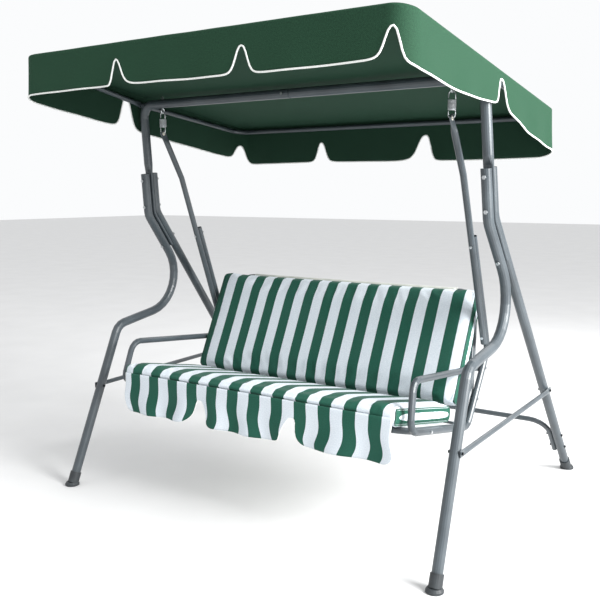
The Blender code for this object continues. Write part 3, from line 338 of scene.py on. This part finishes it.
def cloth_weave(tree, coordinate, thread, strength):
    """Height of a plain weave: two crossing sets of rounded threads, over and under by turns."""
    split = add_node(tree, "SeparateXYZ", links={"Vector": coordinate})
    waves = []
    for axis in ("X", "Y"):
        scaled = add_node(tree, "Math", {1: math.pi / thread}, {0: split.outputs[axis]}, operation="MULTIPLY")
        waves.append(add_node(tree, "Math", links={0: scaled.outputs[0]}, operation="SINE").outputs[0])
    crossing = add_node(tree, "Math", links={0: waves[0], 1: waves[1]}, operation="MULTIPLY").outputs[0]
    height = add_node(tree, "MapRange", {"From Min": -1.0}, {"Value": crossing}).outputs["Result"]
    bump = add_node(tree, "Bump", {"Strength": strength, "Distance": thread * 0.25}, {"Height": height})
    return height, bump.outputs["Normal"]


# Solution-dyed polyester canvas: mottled where light and dark yarns cross, with a dull sheen and painted shade between
# the threads.
canvas, tree, shader = begin_material("dark_green_polyester_canvas", IOR=1.45, Specular_IOR_Level=0.15,
                                      Sheen_Weight=0.08, Sheen_Roughness=0.5)
shader.inputs["Sheen Tint"].default_value = hex_colour("6fae90")
place = add_node(tree, "Attribute", attribute_name="cloth").outputs["Vector"]
weave, normal = cloth_weave(tree, place, THREAD, 0.5)
yarns = add_node(tree, "TexNoise", {"Scale": 260.0, "Detail": 3.0}, {"Vector": place}).outputs["Fac"]
clouds = add_node(tree, "TexNoise", {"Scale": 5.0, "Detail": 5.0}, {"Vector": place}).outputs["Fac"]
colour = ramp(tree, yarns, [(0.32, "1b3527"), (0.68, "2d503b")])
shade = add_node(tree, "MixRGB", {"Color2": hex_colour("1f3f2e")}, {"Fac": grey(tree, clouds, 0.0, 0.55), "Color1": colour})
# Painted shade: the cloth is darkened in the low places of the weave, between the threads.
weave_hollow_shade = add_node(tree, "MixRGB", {"Color2": hex_colour("13281d")}, {"Fac": grey(tree, weave, 0.28, 0.0), "Color1": shade.outputs["Color"]})
tree.links.new(weave_hollow_shade.outputs["Color"], shader.inputs["Base Color"])
tree.links.new(grey(tree, yarns, 0.72, 0.90), shader.inputs["Roughness"])
tree.links.new(normal, shader.inputs["Normal"])

# The inner face of the canvas is the same cloth painted darker and flatter: painted shade on the underside of the
# cover.
painted_shade_lining = canvas.copy()
painted_shade_lining.name = "inner_canvas_painted_shade"
for node in painted_shade_lining.node_tree.nodes:
    if node.type == "VALTORGB":
        node.color_ramp.elements[0].color = hex_colour("172c22")
        node.color_ramp.elements[1].color = hex_colour("223c2e")
painted_shade_lining.node_tree.nodes["Principled BSDF"].inputs["Sheen Weight"].default_value = 0.05

# White polyester tape, folded over the raw edge and sewn down: a fine ribbed weave.
tape, tree, shader = begin_material("white_binding_tape", IOR=1.45, Sheen_Weight=0.2)
place = add_node(tree, "TexCoord").outputs["Object"]
ribs = add_node(tree, "TexNoise", {"Scale": 420.0, "Detail": 2.0}, {"Vector": place}).outputs["Fac"]
tree.links.new(ramp(tree, ribs, [(0.3, "cfd2cf"), (0.7, "f2f3f0")]), shader.inputs["Base Color"])
shader.inputs["Roughness"].default_value = 0.85
bump = add_node(tree, "Bump", {"Strength": 0.4, "Distance": 0.0008}, {"Height": ribs})
tree.links.new(bump.outputs["Normal"], shader.inputs["Normal"])

cover_low, cover_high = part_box("canopy_cover")
hinge_y = next(j["pos_m"][1] for j in frame["joints"] if j["name"] == "canopy_tilt")
half = cover_high.x
front, rear = cover_low.y, cover_high.y
front_z, rear_z = cover_high.z, cover_low.z + VALANCE_REAR


CORNER_LENGTHS = {"front_right": (0.150, 0.166), "rear_right": (0.166, VALANCE_REAR),
                  "rear_left": (VALANCE_REAR, 0.162), "front_left": (0.162, 0.150)}


def outline(step=0.008):
    """Plan outline of the cover: place, outward direction, side, spot along it and running length."""
    xs, ya, yb = half - CANOPY_CORNER, front + CANOPY_CORNER, rear - CANOPY_CORNER
    runs = [("front", (-xs, front), (xs, front)), ("front_right", (xs, ya), -90), ("right", (half, ya), (half, yb)),
            ("rear_right", (xs, yb), 0), ("rear", (xs, rear), (-xs, rear)), ("rear_left", (-xs, yb), 90),
            ("left", (-half, yb), (-half, ya)), ("front_left", (-xs, ya), 180)]
    rows, length = [], 0.0
    for name, a, b in runs:
        if isinstance(b, tuple):
            a, b = Vector(a), Vector(b)
            count = round((b - a).length / step)
            along = (b - a).normalized()
            for k in range(count):
                p = a.lerp(b, k / count)
                spot = p.x if name in ("front", "rear") else p.y - hinge_y
                rows.append((p, Vector((along.y, -along.x)), name, spot, length + (p - a).length))
            length += (b - a).length
        else:
            count = round(CANOPY_CORNER * math.pi / 2 / step)
            for k in range(count):
                turn = math.radians(b + 90 * k / count)
                out = Vector((math.cos(turn), math.sin(turn)))
                rows.append((Vector(a) + out * CANOPY_CORNER, out, name, 2 * k / count - 1, length + CANOPY_CORNER * math.pi / 2 * k / count))
            length += CANOPY_CORNER * math.pi / 2
    return rows


def notch(away, before, after):
    """Share of a notch's height at a distance from its peak: a round peak, steep sides, flared feet."""
    near = abs(away) / (before if away < 0 else after)
    return 1 / (1 + near ** 3.8)


def full_valance(name, spot, y):
    """Length of the valance between the notches."""
    if name in CORNER_LENGTHS:
        before, after = CORNER_LENGTHS[name]
        return before + (after - before) * (spot + 1) / 2
    back = (y - front) / (rear - front)
    if name == "right":
        return 0.166 - 0.040 * math.exp(-((spot - 0.080) / 0.26) ** 2)
    if name == "left":
        return 0.162
    return 0.150 + (VALANCE_REAR - 0.150) * back + 0.003 * math.sin(spot * math.pi / (half - CANOPY_CORNER))


def top_height(p):
    """Height of the cover's top face: the plane of the hoops, with a soft sag between them."""
    share = (p.y - front) / (rear - front)
    across = 1 - (p.x / half) ** 2
    sag = TOP_SAG * across * (4 * share * (1 - share))
    wrinkle = 0.0016 * noise.noise(Vector((p.x * 6, p.y * 6, 3.0)))
    return front_z + (rear_z - front_z) * share - sag + wrinkle * across


rows = outline()
count = len(rows)
around = rows[-1][4] + 0.008
peaks = []
for side_name, place, left, before, after in NOTCHES:
    spots = [(abs(spot - place), length) for p, out, name, spot, length in rows if name == side_name]
    peaks.append((min(spots)[1], left, before, after))
drops = []
for p, out, name, spot, length in rows:
    hang = full = full_valance(name, spot, p.y)
    for peak, left, before, after in peaks:
        away = (length - peak + around / 2) % around - around / 2
        hang -= (full - left) * notch(away, before, after)
    drops.append(hang)
drops = [(drops[k - 1] + 2 * drops[k] + drops[(k + 1) % count]) / 4 for k in range(count)]
bm = bmesh.new()
cloth = bm.verts.layers.float_vector.new("cloth")
TOP_RINGS = 16
middle = Vector((0.0, (front + rear) / 2))
hub = bm.verts.new((middle.x, middle.y, top_height(middle)))
hub[cloth] = (middle.x, middle.y, 0.0)
rings = []
for j in range(1, TOP_RINGS + 1):
    ring = []
    for p, out, name, spot, length in rows:
        inner = p - out * EDGE_ROLL
        q = middle.lerp(inner, (j / TOP_RINGS) ** 0.8)
        vert = bm.verts.new((q.x, q.y, top_height(q)))
        vert[cloth] = (q.x, q.y, 0.0)
        ring.append(vert)
    rings.append(ring)
for k in range(1, 5):
    turn = math.radians(90 * k / 4)
    ring = []
    for p, out, name, spot, length in rows:
        q = p - out * EDGE_ROLL * (1 - math.sin(turn))
        vert = bm.verts.new((q.x, q.y, top_height(p) - EDGE_ROLL * (1 - math.cos(turn))))
        vert[cloth] = (length, EDGE_ROLL * turn, 1.0)
        ring.append(vert)
    rings.append(ring)
VALANCE_ROWS = 14
edge = []
for k in range(1, VALANCE_ROWS + 1):
    ring = []
    for (p, out, name, spot, length), hang in zip(rows, drops):
        fall = EDGE_ROLL + (hang - EDGE_ROLL) * k / VALANCE_ROWS
        loose = (fall / 0.15) ** 1.5
        swell = 0.5 + 0.5 * noise.noise(Vector((length * 7.0, fall * 3.0, 1.7)))
        fold = 0.5 + 0.5 * math.sin(length * 2 * math.pi / 0.23 + 2.2 * math.sin(length * 2.1))
        q = p + out * loose * (0.006 * swell + 0.005 * fold)
        vert = bm.verts.new((q.x, q.y, top_height(p) - fall))
        vert[cloth] = (length, fall, 1.0)
        ring.append(vert)
    rings.append(ring)
edge = [v.co.copy() for v in rings[-1]]
for a, b in zip(rings, rings[1:]):
    for k in range(count):
        bm.faces.new((a[k], a[(k + 1) % count], b[(k + 1) % count], b[k]))
for k in range(count):
    bm.faces.new((hub, rings[0][k], rings[0][(k + 1) % count]))
cover_area = sum(face.calc_area() for face in bm.faces)
# The inner shell takes the darker copy of the canvas, as painted shade on the underside.
cover = finish_mesh("canopy_fabric", bm, [canvas, painted_shade_lining], "canopy", 60.0)
thick = cover.modifiers.new("thickness", "SOLIDIFY")
thick.material_offset = 1
thick.thickness = 0.0012
thick.offset = -1.0
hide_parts("canopy_cover")
binding = wire("canopy_binding", edge, 0.0030, tape, closed=True)
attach(binding, "canopy")

# The top panel is joined to the valance by a felled seam that stands up a little along the edge.
seam = [Vector((p.x, p.y, top_height(p) + 0.0002)) - Vector((out.x, out.y, 0.0)) * (EDGE_ROLL + 0.004)
        for p, out, name, spot, length in rows]
top_seam = wire("canopy_top_seam", seam, 0.0016, canvas, closed=True, sides=2)
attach(top_seam, "canopy")

# ------------------------------------------------------------------ sling of the seat
# One strip of heavy pale canvas, doubled over and hemmed round the front rail and the top rail of
# the basket and drawn down behind a rod at the bend; the cushions lie on it.
FRONT_RAIL = (-0.4599, 0.4452)
BEND_ROD = (0.0105, 0.3597)
TOP_RAIL = (0.2624, 0.8434)
RAIL_WRAP = 0.01415
ROD_WRAP = 0.00765
SLING_HALF = (0.5750, 0.5190)

# Heavy undyed cotton-polyester canvas: pale, plainly woven and a little soiled, with painted shade between the threads.
sling_cloth, tree, shader = begin_material("undyed_sling_canvas", IOR=1.45, Sheen_Weight=0.2)
place = add_node(tree, "Attribute", attribute_name="cloth").outputs["Vector"]
weave, normal = cloth_weave(tree, place, 0.0030, 0.6)
soil = add_node(tree, "TexNoise", {"Scale": 14.0, "Detail": 6.0}, {"Vector": place}).outputs["Fac"]
colour = ramp(tree, soil, [(0.30, "a9ada6"), (0.70, "d2d4cc")])
# Painted shade: the canvas is darkened in the low places of the weave, between the threads.
weave_hollow_shade = add_node(tree, "MixRGB", {"Color2": hex_colour("8f938c")}, {"Fac": grey(tree, weave, 0.35, 0.0), "Color1": colour})
tree.links.new(weave_hollow_shade.outputs["Color"], shader.inputs["Base Color"])
tree.links.new(grey(tree, soil, 0.75, 0.92), shader.inputs["Roughness"])
tree.links.new(normal, shader.inputs["Normal"])


def arc(centre, radius, start, end, steps):
    """Points of a side-view arc from angle start to angle end, in degrees."""
    turns = [math.radians(start + (end - start) * k / steps) for k in range(steps + 1)]
    return [(centre[0] + radius * math.cos(a), centre[1] + radius * math.sin(a)) for a in turns]


def refined(path, step):
    """The path with points added so that no span is longer than step; and the running lengths."""
    points, lengths = [Vector(path[0])], [0.0]
    for a, b in zip(path, path[1:]):
        a, b = Vector(a), Vector(b)
        parts = max(1, round((b - a).length / step))
        for k in range(1, parts + 1):
            points.append(a.lerp(b, k / parts))
            lengths.append(lengths[-1] + (b - a).length / parts)
    return points, lengths


path = (arc(FRONT_RAIL, RAIL_WRAP, 280, 79, 12) + arc(BEND_ROD, ROD_WRAP, 257, 335, 5)
        + arc(TOP_RAIL, RAIL_WRAP, 155, -60, 12))
points, lengths = refined(path, 0.02)
bm = bmesh.new()
cloth = bm.verts.layers.float_vector.new("cloth")
SLING_COLUMNS = 60
grid = []
for p, length in zip(points, lengths):
    share = min(1.0, max(0.0, (p.x - BEND_ROD[0]) / (TOP_RAIL[0] - BEND_ROD[0])))
    wide = SLING_HALF[0] + (SLING_HALF[1] - SLING_HALF[0]) * share
    row = []
    for k in range(SLING_COLUMNS + 1):
        x = wide * (2 * k / SLING_COLUMNS - 1)
        vert = bm.verts.new((x, p.x, p.y))
        vert[cloth] = (x, length, 0.0)
        row.append(vert)
    grid.append(row)
for a, b in zip(grid, grid[1:]):
    for k in range(SLING_COLUMNS):
        bm.faces.new((a[k], a[k + 1], b[k + 1], b[k]))
sling_area = sum(face.calc_area() for face in bm.faces)
hems = [[row[k].co.copy() for row in grid] for k in (0, -1)]
sling = finish_mesh("sling_fabric", bm, [sling_cloth], "seat", 60.0)
thick = sling.modifiers.new("thickness", "SOLIDIFY")
thick.thickness = 0.0014
thick.offset = 0.0
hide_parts("seat_sling")
for word, hem in zip(("left", "right"), hems):
    cord = wire(f"sling_hem_{word}", hem, 0.0014, sling_cloth, sides=2)
    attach(cord, "seat")

# ------------------------------------------------------------------ seat and back cushions
# Foam cushions in boxed covers of striped woven polyester, green and white, cut with the stripes
# running up and down; the end panels are cut the other way. Cord piping covers the seams.
SEAT_CUSHION = ((1.290, 0.470, 0.075), (0.0, -0.2757, 0.4636), -11.3)
BACK_CUSHION = ((1.300, 0.088, 0.478), (0.0, 0.0997, 0.6445), -26.0)
CUSHION_PUFF = 0.009
SIDE_PUFF = 0.003
EDGE_ROUND = 0.024
GRAIN = 0.008
SEAT_STRIPES = 25
BACK_STRIPES = 26
END_BAND = 0.015
END_REACH = 0.205
GREEN = ("0c4535", "155544")
WHITE = ("c9d2db", "e2e8ee")


def striped(name, pitch, first, band=None):
    """Woven striped cloth: the yarn changes colour across the stripes, with a crossing weft and painted shade between
    the threads.
    """
    material, tree, shader = begin_material(name, IOR=1.45, Specular_IOR_Level=0.15, Sheen_Weight=0.05,
                                            Sheen_Roughness=0.45)
    place = add_node(tree, "Attribute", attribute_name="cloth").outputs["Vector"]
    weave, normal = cloth_weave(tree, place, 0.0024, 0.45)
    split = add_node(tree, "SeparateXYZ", links={"Vector": place})
    count = add_node(tree, "Math", {1: 0.5 / pitch}, {0: split.outputs["X"]}, operation="MULTIPLY").outputs[0]
    shifted = add_node(tree, "Math", {1: first}, {0: count}, operation="ADD").outputs[0]
    turn = add_node(tree, "Math", links={0: shifted}, operation="FRACT").outputs[0]
    stripe = add_node(tree, "Math", {1: 0.5}, {0: turn}, operation="GREATER_THAN").outputs[0]
    if band is not None:
        shares = []
        for axis, reach, power in (("Z", band, 2.0), ("Y", END_REACH, 6.0)):
            share = add_node(tree, "Math", {1: 1 / reach}, {0: split.outputs[axis]}, operation="MULTIPLY").outputs[0]
            size = add_node(tree, "Math", links={0: share}, operation="ABSOLUTE").outputs[0]
            shares.append(add_node(tree, "Math", {1: power}, {0: size}, operation="POWER").outputs[0])
        total = add_node(tree, "Math", links={0: shares[0], 1: shares[1]}, operation="ADD").outputs[0]
        stripe = add_node(tree, "Math", {1: 1.0}, {0: total}, operation="GREATER_THAN").outputs[0]
    yarns = add_node(tree, "TexNoise", {"Scale": 300.0, "Detail": 3.0}, {"Vector": place}).outputs["Fac"]
    clouds = add_node(tree, "TexNoise", {"Scale": 6.0, "Detail": 5.0}, {"Vector": place}).outputs["Fac"]
    green = ramp(tree, yarns, [(0.32, GREEN[0]), (0.68, GREEN[1])])
    white = ramp(tree, yarns, [(0.32, WHITE[0]), (0.68, WHITE[1])])
    mixed = add_node(tree, "MixRGB", links={"Fac": stripe, "Color1": white, "Color2": green}).outputs["Color"]
    worn = add_node(tree, "MixRGB", {"Color2": hex_colour("9fb0ac")}, {"Fac": grey(tree, clouds, 0.0, 0.06), "Color1": mixed})
    # Painted shade: the cloth is darkened in the low places of the weave, between the threads.
    dark = add_node(tree, "MixRGB", {"Color2": hex_colour("2c4a44")}, {"Fac": grey(tree, weave, 0.16, 0.0), "Color1": worn.outputs["Color"]})
    tree.links.new(dark.outputs["Color"], shader.inputs["Base Color"])
    tree.links.new(grey(tree, yarns, 0.70, 0.88), shader.inputs["Roughness"])
    tree.links.new(normal, shader.inputs["Normal"])
    return material


def boxed(size, rounding):
    """Closed box of the size with rounded edges, round its own middle."""
    bm = bmesh.new()
    bmesh.ops.create_cube(bm, size=1.0)
    bmesh.ops.scale(bm, vec=size, verts=bm.verts)
    bmesh.ops.bevel(bm, geom=bm.edges, offset=rounding, segments=5, profile=0.5, affect="EDGES")
    return bm


def filled(name, size):
    """Rest and filled vertex places, and the faces, of a stuffed cover: it is pinned along its seams
    and blown out by a short cloth simulation."""
    thin = min(range(3), key=lambda k: size[k])
    other = 3 - thin
    puff = [CUSHION_PUFF if k == thin else SIDE_PUFF for k in range(3)]
    small = [s - 2 * p for s, p in zip(size, puff)]
    half = [s / 2 for s in small]
    bm = boxed(small, min(EDGE_ROUND, min(small) * 0.38))
    mesh = bpy.data.meshes.new(name)
    bm.to_mesh(mesh)
    bm.free()
    obj = bpy.data.objects.new(name, mesh)
    bpy.context.scene.collection.objects.link(obj)
    remesh = obj.modifiers.new("grain", "REMESH")
    remesh.mode = "VOXEL"
    remesh.voxel_size = GRAIN
    depsgraph = bpy.context.evaluated_depsgraph_get()
    fine = bpy.data.meshes.new_from_object(obj.evaluated_get(depsgraph))
    obj.modifiers.clear()
    obj.data = fine
    rest = [v.co.copy() for v in fine.vertices]
    seams = obj.vertex_groups.new(name="seams")
    for k, p in enumerate(rest):
        gaps = sorted(half[a] - abs(p[a]) for a in range(3))
        end_seam = half[0] - abs(p.x) < EDGE_ROUND and gaps[1] < EDGE_ROUND * 0.45
        mid_seam = half[other] - abs(p[other]) < GRAIN and abs(p[thin]) < GRAIN * 1.5
        if end_seam or mid_seam:
            seams.add([k], 1.0, "REPLACE")
    cloth = obj.modifiers.new("cover", "CLOTH")
    cloth.settings.vertex_group_mass = "seams"
    cloth.settings.quality = 4
    cloth.settings.mass = 0.3
    cloth.settings.use_pressure = True
    cloth.settings.uniform_pressure_force = 4.0
    cloth.settings.shrink_min = -0.02
    cloth.settings.effector_weights.gravity = 0.0
    cloth.collision_settings.use_collision = False
    cloth.point_cache.frame_start = 1
    cloth.point_cache.frame_end = 20
    for frame_number in range(1, 21):
        bpy.context.scene.frame_set(frame_number)
    done = obj.evaluated_get(bpy.context.evaluated_depsgraph_get()).to_mesh()
    filled_at = [v.co.copy() for v in done.vertices]
    bpy.context.scene.frame_set(1)
    for k, (p, q) in enumerate(zip(rest, filled_at)):
        move = q - p
        far = max(move.length, 1e-9)
        filled_at[k] = p + move * (CUSHION_PUFF * math.tanh(far / CUSHION_PUFF) / far)
    faces = [tuple(f.vertices) for f in fine.polygons]
    bpy.data.objects.remove(obj)
    return rest, filled_at, faces, half


def sag(across):
    """Share by which a cushion's foot droops past the edge of the sling."""
    share = min(1.0, max(0.0, (across - SLING_HALF[0] + 0.01) / 0.06))
    return share * share * (3 - 2 * share)


def cushion(name, node, spec, materials, droop=0.0):
    """Stuffed cushion in place, with striped cover, end panels and cord piping."""
    size, centre, lean = spec
    stand = Matrix.Translation(centre) @ Matrix.Rotation(math.radians(lean), 4, "X")
    rest, moved, faces, half = filled(name, size)
    thin = min(range(3), key=lambda k: size[k])
    other = 3 - thin
    scale = [s / 2 / h for s, h in zip(size, half)]
    limit = [s / 2 for s in size]
    bm = bmesh.new()
    cloth = bm.verts.layers.float_vector.new("cloth")
    verts = []
    for p, q in zip(rest, moved):
        held = Vector([max(-m, min(m, c)) for m, c in zip(limit, q)])
        held[thin] -= droop * sag(abs(held.x)) * (0.5 - held[thin] / size[thin])
        vert = bm.verts.new(stand @ held)
        vert[cloth] = (p.x * scale[0], p[other], p[thin] * scale[thin])
        verts.append(vert)
    for f in faces:
        new = bm.faces.new([verts[k] for k in f])
        middle = sum((rest[k] for k in f), Vector()) / len(f)
        gap = [half[a] - abs(middle[a]) for a in range(3)]
        new.material_index = 1 if gap[0] < min(gap[1], gap[2]) and gap[0] < EDGE_ROUND else 0
    obj = finish_mesh(name, bm, materials, "seat", 180.0)
    smooth = obj.modifiers.new("smooth", "SUBSURF")
    smooth.levels = 1
    smooth.render_levels = 1
    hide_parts(node)
    tree = kdtree.KDTree(len(rest))
    for k, p in enumerate(rest):
        tree.insert(p, k)
    tree.balance()
    cords = []
    inset = EDGE_ROUND * 0.29
    for word, side in SIDES:
        ring = []
        plan = [half[other] - inset, half[thin] - inset]
        corner = plan[1] * 0.7
        for sy, sz, turn in ((1, 1, 0), (-1, 1, 90), (-1, -1, 180), (1, -1, 270)):
            for k in range(7):
                a = math.radians(turn + 90 * k / 6)
                ring.append((sy * (plan[0] - corner) + corner * math.cos(a), sz * (plan[1] - corner) + corner * math.sin(a)))
        ring.append(ring[0])
        edge, lengths = refined(ring, 0.012)
        spots = []
        for spot in edge[:-1]:
            p = Vector((side * (half[0] - inset), 0.0, 0.0))
            p[other], p[thin] = spot
            near = tree.find_n(p, 4)
            q = sum((moved[k] for found, k, far in near), Vector()) / len(near)
            out = Vector((side, 0.0, 0.0))
            out[other], out[thin] = spot.x / plan[0] * 0.5, spot.y / plan[1]
            q = q + out.normalized() * 0.0015
            q = Vector([max(-m + 0.002, min(m - 0.002, c)) for m, c in zip(limit, q)])
            q[thin] -= droop * sag(abs(q.x)) * (0.5 - q[thin] / size[thin])
            spots.append(stand @ q)
        cord = wire(f"{name}_piping_{word}", spots, 0.0026, materials[2], closed=True, sides=3)
        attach(cord, "seat")
        cords.append(cord)
    return obj


seat_pitch = SEAT_CUSHION[0][0] / SEAT_STRIPES
back_pitch = BACK_CUSHION[0][0] / BACK_STRIPES
seat_cloth = striped("striped_polyester_seat", seat_pitch, 0.25)
back_cloth = striped("striped_polyester_back", back_pitch, 0.0)
end_cloth = striped("striped_polyester_ends", 0.05, 0.0, END_BAND)
piping = begin_material("green_piping_cord", IOR=1.45, Sheen_Weight=0.3)
place = add_node(piping[1], "TexCoord").outputs["Object"]
fine = add_node(piping[1], "TexNoise", {"Scale": 350.0, "Detail": 3.0}, {"Vector": place}).outputs["Fac"]
piping[1].links.new(ramp(piping[1], fine, [(0.3, GREEN[0]), (0.7, GREEN[1])]), piping[2].inputs["Base Color"])
piping[2].inputs["Roughness"].default_value = 0.8
bump = add_node(piping[1], "Bump", {"Strength": 0.3, "Distance": 0.0006}, {"Height": fine})
piping[1].links.new(bump.outputs["Normal"], piping[2].inputs["Normal"])
seat_pad = cushion("seat_cushion_cover", "seat_cushion", SEAT_CUSHION, [seat_cloth, end_cloth, piping[0]], 0.014)
back_pad = cushion("back_cushion_cover", "back_cushion", BACK_CUSHION, [back_cloth, end_cloth, piping[0]])

# ------------------------------------------------------------------ skirt of the seat cushion
# A valance of the same striped cloth, sewn to the cushion's front below its rounded edge and left
# to hang. It is cut in three panels with rounded feet and edged with narrow white tape.
SKIRT_HALF = 0.628
SKIRT_TOP = 0.500
SKIRT_FOOT = 0.338
SKIRT_NOTCH = (-0.220, 0.220)

skirt_cloth = seat_cloth
seat_pad_mesh = seat_pad.data
front_of = {}
for v in seat_pad_mesh.vertices:
    if v.co.y < -0.45:
        key = round(v.co.z / 0.006)
        front_of[key] = min(front_of.get(key, 0.0), v.co.y)


def skirt_back(z):
    """Furthest forward that the cushion reaches at or above z, below the skirt's seam."""
    return min([y for key, y in front_of.items() if z - 0.004 <= key * 0.006 <= SKIRT_TOP + 0.004], default=-0.513)


def skirt_foot(x):
    """Height of the skirt's foot at x: three panels with rounded corners and two tall notches."""
    low = SKIRT_FOOT
    for n in SKIRT_NOTCH:
        low = max(low, SKIRT_FOOT + 0.100 * notch(x - n, 0.034, 0.026))
    ends = SKIRT_HALF - abs(x)
    if ends < 0.03:
        low = max(low, SKIRT_FOOT + 0.03 - math.sqrt(max(0.0, 0.03 ** 2 - (0.03 - ends) ** 2)))
    return low


bm = bmesh.new()
cloth = bm.verts.layers.float_vector.new("cloth")
SKIRT_COLUMNS = 260
SKIRT_ROWS = 18
grid = []
for j in range(SKIRT_ROWS + 1):
    row = []
    for k in range(SKIRT_COLUMNS + 1):
        x = SKIRT_HALF * (2 * k / SKIRT_COLUMNS - 1)
        foot = skirt_foot(x)
        z = SKIRT_TOP + (foot - SKIRT_TOP) * j / SKIRT_ROWS
        loose = ((SKIRT_TOP - z) / 0.16) ** 1.4
        wave = math.sin(x * 2 * math.pi / 0.19 + 1.3 * math.sin(x * 5.1 + 0.7))
        fold = noise.noise(Vector((x * 9, z * 7, 4.2)))
        y = skirt_back(z) - 0.0016 - loose * (0.011 + 0.009 * wave + 0.007 * fold)
        sway = loose * 0.013 * math.sin(z * 40 + x * 9.0) + loose * 0.004 * noise.noise(Vector((x * 14, z * 22, 9.0)))
        vert = bm.verts.new((x + sway, y, z))
        vert[cloth] = (x + 0.003, SKIRT_TOP - z, 0.0)
        row.append(vert)
    grid.append(row)
for a, b in zip(grid, grid[1:]):
    for k in range(SKIRT_COLUMNS):
        bm.faces.new((a[k], b[k], b[k + 1], a[k + 1]))
skirt_area = sum(face.calc_area() for face in bm.faces)
hem = [v.co.copy() for v in grid[-1]]
hem = [row[0].co.copy() for row in grid] + hem + [row[-1].co.copy() for row in reversed(grid)]
skirt = finish_mesh("seat_skirt_fabric", bm, [skirt_cloth], "seat", 60.0)
thick = skirt.modifiers.new("thickness", "SOLIDIFY")
thick.thickness = 0.0012
thick.offset = 1.0
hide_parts("seat_skirt")
skirt_hem = wire("skirt_edging", hem, 0.0014, tape, sides=2)
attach(skirt_hem, "seat")

# ------------------------------------------------------------------ floor, camera and lights
# A plain pale studio floor, seen from standing height in front and to the right, lit by a large
# soft lamp on the right, a weaker one behind and an even pale surround.
bm = bmesh.new()
bmesh.ops.create_grid(bm, x_segments=1, y_segments=1, size=30.0)
floor_mat, tree, shader = begin_material("pale_studio_floor")
place = add_node(tree, "TexCoord").outputs["Object"]
mottle = add_node(tree, "TexNoise", {"Scale": 3.0, "Detail": 3.0}, {"Vector": place}).outputs["Fac"]
tree.links.new(ramp(tree, mottle, [(0.3, "d6d6d6"), (0.7, "dadada")]), shader.inputs["Base Color"])
shader.inputs["Roughness"].default_value = 0.9
floor = finish_mesh("studio_floor", bm, [floor_mat])
floor.location.z = cad_low.z - 0.001

camera_data = bpy.data.cameras.new("camera")
camera_data.lens = 49.104
camera_data.sensor_width = 36.0
camera = bpy.data.objects.new("camera", camera_data)
camera.location = (1.870, -2.88463, 1.251)
turn, dip = math.radians(34.18), math.radians(7.52)
forward = Vector((-math.sin(turn) * math.cos(dip), math.cos(turn) * math.cos(dip), -math.sin(dip)))
camera.rotation_euler = forward.to_track_quat("-Z", "Y").to_euler()
bpy.context.scene.collection.objects.link(camera)
bpy.context.scene.camera = camera

for name, spot, power, wide in (("key_lamp", (4.6, -0.3, 2.7), 620.0, 2.6), ("rear_lamp", (0.6, 3.8, 3.0), 40.0, 2.5)):
    lamp_data = bpy.data.lights.new(name, "AREA")
    lamp_data.energy = power
    lamp_data.size = wide
    lamp = bpy.data.objects.new(name, lamp_data)
    lamp.location = spot
    lamp.rotation_euler = (Vector((0, 0, 0.8)) - Vector(spot)).to_track_quat("-Z", "Y").to_euler()
    bpy.context.scene.collection.objects.link(lamp)

world = bpy.data.worlds.new("studio")
world.use_nodes = True
world.node_tree.nodes["Background"].inputs["Color"].default_value = hex_colour("fbfcfd")
world.node_tree.nodes["Background"].inputs["Strength"].default_value = 1.0
bpy.context.scene.world = world
bpy.context.scene.view_settings.view_transform = "Standard"
